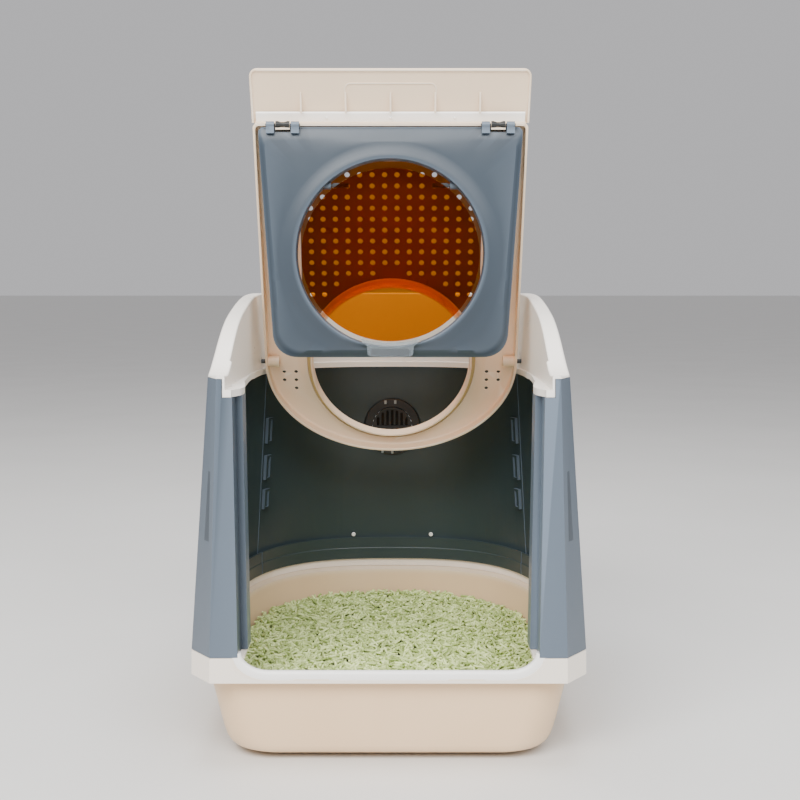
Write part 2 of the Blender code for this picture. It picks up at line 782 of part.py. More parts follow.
def make_front_panel(material, panel_axis):
    loops = [
        at_depth(panel_outline(0.010), -0.0005),
        at_depth(panel_outline(0.003), 0.0015),
        at_depth(panel_outline(0.0), 0.0060),
        at_depth(panel_outline(0.0), PANEL_DEPTH),
        at_depth(panel_outline(PANEL_WALL), PANEL_DEPTH),
        at_depth(panel_outline(PANEL_WALL), 0.0075),
        at_depth(panel_outline(0.010 + PANEL_WALL), 0.0025),
    ]
    panel = loft("front_panel", loops, material)
    centre = (0.0, -DOOR_DROP)
    doorway = cylinder("doorway", "y", centre, DOOR_RADIUS, -0.02, 0.05, 40)
    recess = cylinder("ring recess", "y", centre, DOOR_RADIUS + 0.002, -0.0022, 0.0120, 40)
    ring = tube("door ring", "y", centre, DOOR_RADIUS, DOOR_RADIUS + 0.005, -0.003, 0.0185, 40)
    cut(panel, doorway)
    cut(panel, recess)
    join(panel, ring)
    parts = [panel, doorway, recess, ring]
    axis_z = -DOOR_DROP + FLAP_AXIS
    for sign in (1, -1):
        low, high = sorted((sign * 0.0745, sign * 0.0885))
        lug = cylinder(f"flap lug {sign}", "x", (FLAP_Y + 0.004, axis_z), LUG_RADIUS, low, high, 10)
        join(panel, lug)
        parts.append(lug)
        x = sign * HINGE_X
        for end in (1, -1):
            low, high = sorted((x + end * (CLIP_HALF + 0.0015), x + end * KNUCKLE_END))
            knuckle = cylinder(f"knuckle {sign} {end}", "x", (0.0, 0.0), 0.004, low, high, 12)
            web = box(f"knuckle web {sign} {end}", (low, -0.0030, -0.0110), (high, 0.0090, -0.0020))
            join(panel, web)
            join(panel, knuckle)
            parts += [web, knuckle]
    for sign in (1, -1):
        low, high = sorted((sign * 0.0700, sign * 0.0905))
        bore = cylinder(
            f"flap bore {sign}", "x", (FLAP_Y + 0.004, axis_z), FLAP_PIN_RADIUS + FIT, low, high, 8
        )
        x = sign * HINGE_X
        notch = box(
            f"clip notch {sign}",
            (x - CLIP_HALF - 0.0012, -0.01, -0.0085),
            (x + CLIP_HALF + 0.0012, 0.0175, 0.01),
        )
        pin_bore = cylinder(
            f"panel bore {sign}", "x", (0.0, 0.0), PANEL_PIN_RADIUS + FIT, x - 0.03, x + 0.03, 8
        )
        cut(panel, bore)
        cut(panel, notch)
        cut(panel, pin_bore)
        parts += [bore, notch, pin_bore]
    ride(panel_axis, parts)


def make_panel_pins(material, panel_axis):
    pins = []
    for side, sign in (("right", 1), ("left", -1)):
        x = sign * HINGE_X
        name = f"panel_pin_{side}"
        reach = KNUCKLE_END + 0.001
        pins.append(
            cylinder(name, "x", (0.0, 0.0), PANEL_PIN_RADIUS, x - reach, x + reach, 8, material)
        )
    ride(panel_axis, pins)


def make_flap(material, pin_material, flap_axis):
    """The flap and its pins, measured from the flap's axis."""
    outline = ring_points(FLAP_HALF_WIDTH, FLAP_HALF_HEIGHT, 40, (0.0, -FLAP_AXIS - FLAP_SHIFT))
    flap = prism("door_flap", outline, -0.0055, -0.0030, "y", material)
    pieces = [flap]
    for side, sign in (("right", 1), ("left", -1)):
        low, high = sorted((sign * 0.052, sign * 0.0718))
        bracket = box(f"flap bracket {side}", (low, -0.0050, -0.0029), (high, 0.0029, 0.0029))
        join(flap, bracket)
        low, high = sorted((sign * 0.060, sign * 0.0800))
        bore = cylinder(f"bracket bore {side}", "x", (0.0, 0.0), FLAP_PIN_RADIUS + GAP, low, high, 8)
        cut(flap, bore)
        low, high = sorted((sign * 0.0605, sign * 0.0880))
        pin = cylinder(
            f"flap_pin_{side}", "x", (0.0, 0.0), FLAP_PIN_RADIUS, low, high, 8, pin_material
        )
        pieces += [bracket, bore, pin]
    ride(flap_axis, pieces)


def make_latch(material, panel_axis):
    top = -DOOR_DROP - FLAP_SHIFT - FLAP_HALF_HEIGHT - 0.0015
    right = [(x, top + z) for x, z in LATCH_OUTLINE]
    outline = right + mirrored(right[1:-1])[::-1]
    latch = prism("door_latch", outline, -0.0064, -0.0036, "y", material)
    ride(panel_axis, [latch])


def make_vent(black, foam):
    wall_y = between(RIM_REAR, WALL_TOP_REAR, height_share(VENT_Z))
    flange_y = wall_y - WALL - 0.0042
    centre = (0.0, VENT_Z)
    ring = tube(
        "vent_ring", "y", centre, VENT_BORE, VENT_FLANGE, flange_y - 0.003, flange_y, 32, black
    )
    sleeve = tube("vent sleeve", "y", centre, VENT_BORE, VENT_RADIUS - 0.001, flange_y - 0.0015, wall_y + 0.0022, 32)
    join(ring, sleeve)
    grille = cylinder("vent_grille", "y", centre, VENT_BORE - FIT, flange_y - 0.0045, flange_y - 0.0020, 24, black)
    for x in VENT_SLOTS:
        half = math.sqrt(0.0235**2 - x**2)
        slot = box(
            f"vent slot {x}",
            (x - 0.002, flange_y - 0.01, VENT_Z - half),
            (x + 0.002, flange_y + 0.01, VENT_Z + half),
        )
        cut(grille, slot)
    cylinder("filter_pad", "y", centre, VENT_BORE - 0.0007, flange_y - 0.0014, wall_y + 0.0008, 24, foam)
    cylinder("vent_cap", "y", centre, 0.0380, wall_y + 0.0028, wall_y + 0.0052, 32, black)


def build():
    clear_scene()
    cream = make_material("cream_plastic", (0.80, 0.74, 0.62), 0.38)
    blue = make_material("blue_grey_plastic", (0.125, 0.175, 0.235), 0.42)
    amber_plate = make_material("amber_plate", (0.60, 0.30, 0.07), 0.30, 0.9)
    amber = make_material("amber_clear", (0.55, 0.20, 0.01), 0.10, 0.55)
    clear = make_material("smoke_clear", (0.50, 0.57, 0.62), 0.12, 0.6)
    black = make_material("black_plastic", (0.012, 0.012, 0.012), 0.5)
    foam = make_material("carbon_foam", (0.02, 0.02, 0.02), 0.95)
    litter = make_material("pellet_litter", (0.42, 0.52, 0.22), 0.9)
    steel = make_material("pin_plastic", (0.16, 0.18, 0.20), 0.35)
    rubber = make_material("foot_rubber", (0.45, 0.42, 0.37), 0.8)

    make_tray(cream, litter)
    make_feet(rubber)
    make_rim(cream)
    make_side_panels(blue)
    make_back_panel(blue)
    make_wall_pegs(cream)
    make_collar(cream)
    make_vent(black, foam)

    lid_origin = Matrix.Translation((0.0, -PIVOT_Y, -PIVOT_Z))
    lid_axis = empty("lid_axis", (0.0, PIVOT_Y, PIVOT_Z), -OPEN_ANGLE)
    make_lid(cream, lid_axis)
    make_grille(amber_plate, lid_axis)
    make_lid_pins(steel, lid_axis)
    make_lid_clips(cream, lid_axis)
    for piece in lid_axis.children:
        piece.matrix_parent_inverse = lid_origin

    turn = Matrix.Rotation(math.radians(-OPEN_ANGLE), 3, "X")
    arm = turn @ Vector((0.0, HINGE_Y - PIVOT_Y, HINGE_Z - PIVOT_Z))
    hinge = Vector((0.0, PIVOT_Y, PIVOT_Z)) + arm
    panel_axis = empty("panel_axis", hinge)
    make_front_panel(blue, panel_axis)
    make_panel_pins(steel, panel_axis)
    make_latch(clear, panel_axis)
    flap_place = hinge + Vector((0.0, FLAP_Y + 0.004, -DOOR_DROP + FLAP_AXIS))
    flap_axis = empty("flap_axis", flap_place)
    make_flap(amber, steel, flap_axis)
    bpy.context.view_layer.update()


build()
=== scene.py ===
"""Cat litter box with hood: fine shapes, materials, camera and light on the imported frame."""

import math
import random

import bmesh
import bpy
import numpy as np
from mathutils import Matrix, Vector


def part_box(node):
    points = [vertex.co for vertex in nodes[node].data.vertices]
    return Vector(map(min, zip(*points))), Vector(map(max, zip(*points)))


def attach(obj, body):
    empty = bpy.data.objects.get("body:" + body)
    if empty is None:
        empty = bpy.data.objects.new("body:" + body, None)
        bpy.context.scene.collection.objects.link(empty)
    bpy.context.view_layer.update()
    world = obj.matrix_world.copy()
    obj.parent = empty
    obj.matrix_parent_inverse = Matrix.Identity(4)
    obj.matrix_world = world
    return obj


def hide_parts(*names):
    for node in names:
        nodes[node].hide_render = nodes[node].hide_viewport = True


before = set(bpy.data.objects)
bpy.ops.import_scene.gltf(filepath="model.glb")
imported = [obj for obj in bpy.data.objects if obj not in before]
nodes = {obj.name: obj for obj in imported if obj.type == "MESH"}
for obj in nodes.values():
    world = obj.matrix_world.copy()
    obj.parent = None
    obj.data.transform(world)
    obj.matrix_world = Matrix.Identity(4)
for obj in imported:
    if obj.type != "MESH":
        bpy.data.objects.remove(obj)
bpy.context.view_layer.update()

GAP = 0.0004
FRONT = -0.250
RIM_TOP = 0.117
WALL_TOP = 0.4145
RIM_SIZE = (0.2157, 0.250, 0.0247)  # half width, rear and corner width at the rim
TOP_SIZE = (0.198, 0.238, 0.014)  # the same at the walls' top
CORNER_Y = 0.031
WALL = 0.0032
REAR_POWER = 2.6
FINE = 2.5  # degrees between the bends of the rounded back
SPLIT = 30.0
PIVOT = Vector((0.0, 0.070, 0.413))
OPEN_ANGLE = math.radians(72.0)
LID_TOP = 0.422
LID_HALF_WIDTH = 0.1725
LID_REAR_HALF_WIDTH = 0.168
LID_REAR = 0.128
EXIT_RADIUS = 0.105
LEDGE_TOP = 0.4026
HINGE_CLOSED = Vector((0.0, -0.253, 0.395))
DOOR_RADIUS = 0.1165
DOOR_DROP = 0.1595
FLAP_AXIS_UP = 0.0845
VENT_Z = 0.305

LID_TURN = Matrix.Rotation(-OPEN_ANGLE, 4, "X")
LID_PLACE = Matrix.Translation(PIVOT) @ LID_TURN @ Matrix.Translation(-PIVOT)
HINGE = LID_PLACE @ HINGE_CLOSED
PANEL_PLACE = Matrix.Translation(HINGE)
FLAP_PLACE = Matrix.Translation(HINGE + Vector((0.0, 0.008, -DOOR_DROP + FLAP_AXIS_UP)))


# Materials


class Socket:
    """A shader value that adds, multiplies and mixes with others."""

    def __init__(self, tree, socket):
        self.tree, self.socket = tree, socket

    def maths(self, operation, other):
        return add_node(self.tree, "ShaderNodeMath", {0: self, 1: other}, operation=operation)

    def __add__(self, other):
        return self.maths("ADD", other)

    def __mul__(self, other):
        return self.maths("MULTIPLY", other)

    def __sub__(self, other):
        return self.maths("SUBTRACT", other)

    def __rsub__(self, other):
        return add_node(self.tree, "ShaderNodeMath", {0: other, 1: self}, operation="SUBTRACT")

    __radd__ = __add__
    __rmul__ = __mul__


def add_node(tree, kind, inputs=None, output=0, **settings):
    node = tree.nodes.new(kind)
    for name, value in settings.items():
        setattr(node, name, value)
    for name, value in (inputs or {}).items():
        if isinstance(value, Socket):
            tree.links.new(value.socket, node.inputs[name])
        else:
            node.inputs[name].default_value = value
    return Socket(tree, node.outputs[output])


def new_material(name, colour, roughness, **constants):
    material = bpy.data.materials.new(name)
    material.use_nodes = True
    shader = material.node_tree.nodes["Principled BSDF"]
    shader.inputs["Base Color"].default_value = (*colour, 1.0)
    shader.inputs["Roughness"].default_value = roughness
    for socket, value in constants.items():
        shader.inputs[socket.replace("_", " ")].default_value = value
    return material, material.node_tree, shader


def noise(tree, scale, detail=2.0, output=0):
    place = add_node(tree, "ShaderNodeTexCoord", output=3)
    return add_node(
        tree, "ShaderNodeTexNoise", {"Vector": place, "Scale": scale, "Detail": detail}, output
    )


def ramp(tree, value, low, high, colour_low, colour_high):
    """A colour that goes from one to the other as the value goes from low to high."""
    share = add_node(
        tree, "ShaderNodeMapRange", {"Value": value, "From Min": low, "From Max": high}, clamp=True
    )
    inputs = {0: share, 6: (*colour_low, 1.0), 7: (*colour_high, 1.0)}
    return add_node(tree, "ShaderNodeMix", inputs, output=2, data_type="RGBA")


def moulded(name, colour, shade, roughness, grain=0.05, grain_scale=900.0, pale_edge=None, **constants):
    """Moulded plastic: slightly uneven colour, a fine grain, softer gloss in patches, paler edges."""
    material, tree, shader = new_material(name, colour, roughness, **constants)
    patches = noise(tree, 9.0, 4.0)
    base = ramp(tree, patches, 0.3, 0.7, shade, colour)
    # Sharp outward edges, found by pointiness, blend towards a paler colour.
    if pale_edge:
        edge = add_node(tree, "ShaderNodeNewGeometry", output=7)
        sharp_share = add_node(
            tree, "ShaderNodeMapRange", {
                "Value": edge, "From Min": 0.51, "From Max": 0.60
            }, clamp=True
        )
        inputs = {0: sharp_share * 0.55, 6: base, 7: (*pale_edge, 1.0)}
        base = add_node(tree, "ShaderNodeMix", inputs, output=2, data_type="RGBA")
    tree.links.new(base.socket, shader.inputs["Base Color"])
    gloss = noise(tree, 35.0, 3.0) * 0.12 + (roughness - 0.06)
    tree.links.new(gloss.socket, shader.inputs["Roughness"])
    fine = noise(tree, grain_scale, 2.0)
    bump = add_node(tree, "ShaderNodeBump", {"Height": fine, "Strength": grain, "Distance": 0.0004})
    tree.links.new(bump.socket, shader.inputs["Normal"])
    return material


def tinted(name, colour, roughness, transmission, **constants):
    """See-through moulded plastic."""
    material, tree, shader = new_material(name, colour, roughness, **constants)
    shader.inputs["Transmission Weight"].default_value = transmission
    haze = noise(tree, 14.0, 3.0) * 0.05 + roughness
    tree.links.new(haze.socket, shader.inputs["Roughness"])
    return material


def pellet_material(name, dark, light):
    material, tree, shader = new_material(name, light, 0.85)
    tint = add_node(tree, "ShaderNodeAttribute", output=2, attribute_name="tint")
    speckle = noise(tree, 1400.0, 3.0) * 0.35
    base = ramp(tree, tint + speckle, 0.1, 1.15, dark, light)
    tree.links.new(base.socket, shader.inputs["Base Color"])
    crumbs = noise(tree, 2600.0, 3.0)
    bump = add_node(tree, "ShaderNodeBump", {"Height": crumbs, "Strength": 0.5, "Distance": 0.0005})
    tree.links.new(bump.socket, shader.inputs["Normal"])
    return material


cream = moulded(
    "cream_moulded", (0.86, 0.675, 0.485), (0.83, 0.64, 0.455), 0.36, 0.04, pale_edge=(0.92, 0.85, 0.75)
)
ivory = moulded(
    "ivory_moulded", (0.88, 0.765, 0.64), (0.86, 0.74, 0.61), 0.32, 0.03, pale_edge=(0.93, 0.87, 0.79)
)
collar_white = moulded(
    "collar_moulded", (0.93, 0.88, 0.81), (0.91, 0.86, 0.79), 0.30, 0.03, pale_edge=(0.95, 0.93, 0.90)
)
white = moulded("white_gloss", (0.97, 0.955, 0.93), (0.95, 0.93, 0.90), 0.22, 0.02)
tan = moulded(
    "tray_moulded", (0.80, 0.575, 0.355), (0.77, 0.54, 0.325), 0.33, 0.04, pale_edge=(0.86, 0.75, 0.61)
)
blue = moulded(
    "blue_grey_moulded", (0.035, 0.050, 0.068), (0.030, 0.044, 0.061), 0.38, 0.07, pale_edge=(
        0.22, 0.28, 0.36
    )
)
# painted shade: a darker, greener copy of the blue for the faces inside the cabin
cabin_painted_shade = moulded("inner_wall_painted_shade", (0.034, 0.052, 0.056), (0.028, 0.044, 0.048), 0.42, 0.06)
# painted shade: the cream deck darkened to the amber-brown it shows in shade behind the amber flap
grille_painted_shade = moulded("grille_painted_shade_moulded", (0.17, 0.080, 0.014), (0.15, 0.068, 0.011), 0.30, 0.03)
groove_gold = moulded("gold_groove", (0.60, 0.43, 0.16), (0.56, 0.39, 0.14), 0.35, 0.03)
amber = tinted(
    "amber_see_through", (0.66, 0.205, 0.001), 0.02, 1.0, IOR=1.12, Specular_IOR_Level=0.2
)
smoke = tinted("smoke_see_through", (0.62, 0.70, 0.76), 0.08, 0.85, IOR=1.35, Coat_Weight=0.3)
black = moulded("black_moulded", (0.010, 0.011, 0.011), (0.014, 0.015, 0.015), 0.42, 0.10)
foam = moulded("carbon_foam", (0.016, 0.016, 0.017), (0.006, 0.006, 0.006), 0.95, 0.9, 500.0)
grey = moulded("grey_moulded", (0.30, 0.33, 0.35), (0.27, 0.30, 0.32), 0.40, 0.05)
pin = moulded("pin_moulded", (0.035, 0.040, 0.045), (0.028, 0.032, 0.036), 0.32, 0.04)
rubber = moulded("foot_moulded", (0.40, 0.36, 0.30), (0.34, 0.31, 0.26), 0.75, 0.25)
pellets_green = pellet_material("pressed_pellets", (0.30, 0.40, 0.10), (0.80, 0.90, 0.42))
# painted shade: very dark pellet colours for the bed, standing for the shade in the gaps between
# pellets
pellets_painted_shade = pellet_material("pellets_in_shade", (0.020, 0.030, 0.008), (0.05, 0.07, 0.02))


# Mesh tools


def mesh_object(name, points, faces):
    mesh = bpy.data.meshes.new(name)
    mesh.from_pydata([tuple(point) for point in points], [], faces)
    shape = bmesh.new()
    shape.from_mesh(mesh)
    bmesh.ops.recalc_face_normals(shape, faces=shape.faces)
    if shape.calc_volume(signed=True) < 0:
        bmesh.ops.reverse_faces(shape, faces=shape.faces)
    shape.to_mesh(mesh)
    shape.free()
    obj = bpy.data.objects.new(name, mesh)
    bpy.context.scene.collection.objects.link(obj)
    return obj


def loft(name, loops, closed=False):
    """A body through loops of equal length, capped at both ends or, if closed, joined in a ring."""
    count = len(loops[0])
    points = [point for loop in loops for point in loop]
    faces = []
    for k in range(len(loops) if closed else len(loops) - 1):
        a, b = k * count, (k + 1) % len(loops) * count
        for i in range(count):
            j = (i + 1) % count
            faces.append((a + i, a + j, b + j, b + i))
    if not closed:
        faces.append(tuple(range(count)))
        faces.append(tuple(range(len(points) - count, len(points))))
    return mesh_object(name, points, faces)


def prism(name, outline, low, high, axis="z"):
    place = {
        "x": lambda a, b, h: (h, a, b),
        "y": lambda a, b, h: (a, h, b),
        "z": lambda a, b, h: (a, b, h),
    }[axis]
    return loft(name, [[place(a, b, h) for a, b in outline] for h in (low, high)])


def box(name, low, high):
    outline = [(low[0], low[1]), (high[0], low[1]), (high[0], high[1]), (low[0], high[1])]
    return prism(name, outline, low[2], high[2])


def ring_points(radius_x, radius_y, sides, centre=(0.0, 0.0)):
    turns = [2 * math.pi * (i + 0.5) / sides for i in range(sides)]
    return [(centre[0] + radius_x * math.cos(t), centre[1] + radius_y * math.sin(t)) for t in turns]


def cylinder(name, axis, centre, radius, low, high, sides=32):
    return prism(name, ring_points(radius, radius, sides, centre), low, high, axis)


def turned(name, axis, centre, profile, sides=96):
    """A ring whose (radius, height) profile runs round the axis."""
    place = {"y": lambda p, h: (p[0], h, p[1]), "z": lambda p, h: (p[0], p[1], h)}[axis]
    loops = [[place(p, h) for p in ring_points(r, r, sides, centre)] for r, h in profile]
    return loft(name, loops, closed=True)


def rounded_rectangle(low, high, radius, steps=5):
    points = []
    corners = (
        (high[0], low[1], -90), (high[0], high[1], 0), (low[0], high[1], 90), (low[0], low[1], 180)
    )
    for x, y, start in corners:
        cx = x - radius if x == high[0] else x + radius
        cy = y - radius if y == high[1] else y + radius
        for k in range(steps + 1):
            t = math.radians(start + 90 * k / steps)
            points.append((cx + radius * math.cos(t), cy + radius * math.sin(t)))
    return points


def boolean(obj, other, operation):
    modifier = obj.modifiers.new(operation, "BOOLEAN")
    modifier.operation = operation
    modifier.object = other
    modifier.solver = "EXACT"
    return other


def join(obj, other):
    return boolean(obj, other, "UNION")


def cut(obj, other):
    return boolean(obj, other, "DIFFERENCE")


def apply_modifiers(obj):
    graph = bpy.context.evaluated_depsgraph_get()
    obj.data = bpy.data.meshes.new_from_object(obj.evaluated_get(graph), depsgraph=graph)
    obj.modifiers.clear()
    return obj.data


def settle(
    obj, material, body, node=None, place=None, edge=0.0006, segments=2, smooth=35
):
    """Applies the booleans and a small edge rounding, places the piece and makes it ride."""
    helpers = [m.object for m in obj.modifiers if m.type == "BOOLEAN"]
    if edge:
        bevel = obj.modifiers.new("edge", "BEVEL")
        bevel.width = edge
        bevel.segments = segments
        bevel.limit_method = "ANGLE"
        bevel.angle_limit = math.radians(28)
    mesh = apply_modifiers(obj)
    for helper in helpers:
        bpy.data.objects.remove(helper, do_unlink=True)
    if place is not None:
        mesh.transform(place)
    mesh.shade_smooth()
    mesh.set_sharp_from_angle(angle=math.radians(smooth))
    weighted = obj.modifiers.new("normals", "WEIGHTED_NORMAL")
    weighted.keep_sharp = True
    mesh = apply_modifiers(obj)
    mesh.materials.clear()
    mesh.materials.append(material)
    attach(obj, body)
    if node:
        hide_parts(*([node] if isinstance(node, str) else node))
    return obj


def between(low, high, share):
    return low + (high - low) * share


def height_share(z):
    return min(max((z - RIM_TOP) / (WALL_TOP - RIM_TOP), 0.0), 1.0)


def hood_size(z):
    return [between(low, high, height_share(z)) for low, high in zip(RIM_SIZE, TOP_SIZE)]


def fine_angles(first, last):
    steps = max(1, round((last - first) / FINE))
    return [between(first, last, k / steps) for k in range(steps + 1)]


def rear_arc(half_width, rear, angles):
    points = []
    for angle in angles:
        t = math.radians(angle)
        c, s = math.cos(t), math.sin(t)
        x = math.copysign(abs(c) ** (2 / REAR_POWER), c) * half_width
        points.append((x, max(s, 0.0) ** (2 / REAR_POWER) * rear))
    return points


def offset_path(path, distance, closed=False):
    moved = []
    count = len(path)
    for i, (x, y) in enumerate(path):
        before = path[i - 1] if i or closed else None
        after = path[(i + 1) % count] if i < count - 1 or closed else None
        normals = []
        for start, end in ((before, (x, y)), ((x, y), after)):
            if start is not None and end is not None:
                step = Vector((end[0] - start[0], end[1] - start[1])).normalized()
                normals.append(Vector((-step.y, step.x)))
        middle = sum(normals, Vector((0.0, 0.0))).normalized()
        reach = distance / max(middle.dot(normals[0]), 0.2)
        moved.append((x + middle.x * reach, y + middle.y * reach))
    return moved


def hood_loop(z):
    half_width, rear, corner = hood_size(z)
    front = [(half_width - corner, FRONT), (half_width, FRONT + CORNER_Y)]
    return front + rear_arc(half_width, rear, fine_angles(0, 180)) + [
        (-x, y) for x, y in front[::-1]
    ]


def rounded_loop(half_width, front, rear, radius):
    right = []
    for k in range(13):
        t = math.radians(-90 + 7.5 * k)
        right.append(
            (half_width - radius + radius * math.cos(t), front + radius + radius * math.sin(t))
        )
    arc = rear_arc(half_width, rear, fine_angles(0, 180))
    return right + arc + [(-x, y) for x, y in right[::-1]]


def at_height(loop, z):
    return [(x, y, z) for x, y in loop]


def swept(name, path_at, section, closed=False):
    rails = [at_height(offset_path(path_at(z), inset, closed), z) for inset, z in section]
    return loft(name, [list(points) for points in zip(*rails)], closed)


def mirrored(points):
    return [(-p[0], *p[1:]) for p in points]


def curve_between(values, share):
    """A smooth value through evenly spaced ones."""
    place = share * (len(values) - 1)
    k = min(int(place), len(values) - 2)
    t = place - k
    p = [values[max(0, min(len(values) - 1, k + d))] for d in (-1, 0, 1, 2)]
    return p[1] + 0.5 * t * (
        p[2] - p[0] + t * (
            2 * p[0] - 5 * p[1] + 4 * p[2] - p[3] + t * (3 * (p[1] - p[2]) + p[3] - p[0])
        )
    )


# Base


TRAY_SIZES = [
    (0.0030, 0.152, FRONT + 0.040, 0.192, 0.044),
    (0.007, 0.169, FRONT + 0.0245, 0.206, 0.047),
    (0.018, 0.181, FRONT + 0.0160, 0.214, 0.048),
    (0.062, 0.193, FRONT + 0.0135, 0.218, 0.047),
    (0.094, 0.201, FRONT + 0.0125, 0.222, 0.046),
]


def tray_size(share, inset):
    z, a, front, b, r = (curve_between([row[i] for row in TRAY_SIZES], share) for i in range(5))
    return z, a - inset, front + inset, b - inset, r - inset


def make_tray():
    sizes = [tray_size(k / 16, 0.0) for k in range(17)]
    flange = (RIM_SIZE[0] - 0.004, FRONT + 0.004, RIM_SIZE[1] - 0.004, 0.053)
    sizes += [(0.0944, *flange), (0.0970, *flange)]
    inner = [tray_size(k / 16, 0.003) for k in range(17)]
    inner = [(z + 0.003, *rest) for z, *rest in inner]
    sizes += inner[::-1]
    tray = loft(
        "fine_base_tray", [at_height(rounded_loop(a, f, b, r), z) for z, a, f, b, r in sizes]
    )
    settle(tray, tan, "tray", "base_tray", edge=0.0)
    feet = [name for name in nodes if name.startswith("tray_foot")]
    for name in feet:
        low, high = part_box(name)
        outline = rounded_rectangle((low[0], low[1]), (high[0], high[1]), 0.006)
        loops = [at_height(offset_path(outline, inset, True), z) for inset, z in
                 ((0.0008, low[2]), (0.0, low[2] + 0.0008), (0.0, high[2]))]
        settle(loft(f"fine_{name}", loops), rubber, "tray", name, edge=0.0)


def entry_line():
    """The entry's edge in front view: up beside each pillar, round and along the sill."""
    half, top, sill, radius = 0.158, 0.122, 0.1025, 0.030
    right = [(half, top)]
    for k in range(9):
        t = math.radians(10 + 80 * k / 8)
        right.append(
            (half - radius + radius * math.cos(t), sill + radius * 0.66 * (1 - math.sin(t)))
        )
    return right + mirrored(right)[::-1]


def make_rim():
    section = [
        (0.0, 0.0902),
        (0.0, 0.1155),
        (0.0005, 0.1166),
        (0.0016, 0.117),
        (0.0080, 0.117),
        (0.0082, 0.1168),
        (0.0082, 0.0974),
        (0.0050, 0.0974),
        (0.0050, 0.1138),
        (0.0032, 0.1138),
        (0.0032, 0.0902),
    ]
    rim = swept("fine_tray_rim", hood_loop, section, closed=True)
    half_width, _, corner = hood_size(RIM_TOP)
    for side in (1, -1):
        shelf = [
            (side * 0.1550, FRONT + 0.0012),
            (side * (half_width - corner - 0.0012), FRONT + 0.0012),
            (side * (half_width - 0.0015), FRONT + CORNER_Y),
            (side * (half_width - 0.0015), FRONT + 0.062),
            (side * 0.1550, FRONT + 0.062),
        ]
        join(rim, prism("shelf", shelf, 0.1138, 0.1169))
    inside = offset_path(entry_line(), 0.0090)
    outline = [(inside[0][0], 0.15)] + inside + [(inside[-1][0], 0.15)]
    cut(rim, prism("entry", outline, FRONT - 0.01, FRONT + 0.010, "y"))
    settle(rim, ivory, "hood", "tray_rim", edge=0.0004)
    # the raised white lip round the entry
    path = entry_line()
    centre = offset_path(path, 0.0058)
    loops = []
    for (x, z), (cx, cz) in zip(path, centre):
        out = Vector((cx - x, cz - z)).normalized()
        loop = []
        for k in range(18):
            t = 2 * math.pi * k / 18
            across = 0.0060 * math.copysign(abs(math.cos(t)) ** 0.75, math.cos(t))
            depth = 0.0048 * math.copysign(abs(math.sin(t)) ** 0.75, math.sin(t))
            loop.append((cx + out.x * across, FRONT + 0.0049 + depth, cz + out.y * across))
        loops.append(loop)
    settle(loft("entry_lip", loops), white, "hood", edge=0.0, smooth=60)
    for x in (-0.0825, 0.0825):
        slot = prism(
            "lip_slot", rounded_rectangle((x - 0.019, 0.0935), (x + 0.019, 0.0945), 0.0005),
            -0.2499, -0.2490, "y"
        )
        settle(slot, cream, "hood", edge=0.0)


# Hood


def side_angles():
    return fine_angles(0, SPLIT - 0.25) + [SPLIT + FINE]


def pillar_path(z):
    share = height_share(z)
    half_width, rear, corner = hood_size(z)
    jamb, rebate = between(0.154, 0.1605, share), between(0.161, 0.1675, share)
    front = [
        (jamb, FRONT + 0.056),
        (jamb, FRONT + 0.030),
        (rebate, FRONT + 0.030),
        (rebate, FRONT),
        (half_width - corner, FRONT),
        (half_width, FRONT + CORNER_Y),
    ]
    return front + rear_arc(half_width, rear, side_angles())


def ribbon(path, thickness, spare):
    outer, inner = offset_path(path, 0.0), offset_path(path, thickness)
    end = len(path) - spare[1]
    return outer[spare[0] : end] + inner[spare[0] : end][::-1]


BAND = [
    (0.0122, 0.1085),
    (0.0087, 0.1085),
    (0.0087, 0.1178),
    (0.0024, 0.1178),
    (0.0024, 0.1365),
    (0.0100, 0.1400),
    (0.0108, 0.1396),
    (0.0112, 0.1250),
    (0.0122, 0.1240),
]


def trim_ends(obj_loops, spare):
    return obj_loops[spare[0] : len(obj_loops) - spare[1]]


def band(name, path_at, spare):
    rails = [at_height(offset_path(path_at(z), inset), z) for inset, z in BAND]
    return loft(name, trim_ends([list(points) for points in zip(*rails)], spare))


def split_inside(obj, shade_material, inward):
    """Faces that look into the cabin take a darker copy of the blue, painted shade for the cabin's
    inside.
    """
    mesh = obj.data
    mesh.materials.append(shade_material)
    for polygon in mesh.polygons:
        centre = polygon.center
        toward = Vector((-centre.x, 0.02 - centre.y, 0.0)).normalized()
        if polygon.normal.dot(toward) > 0.35 and inward(centre):
            polygon.material_index = 1


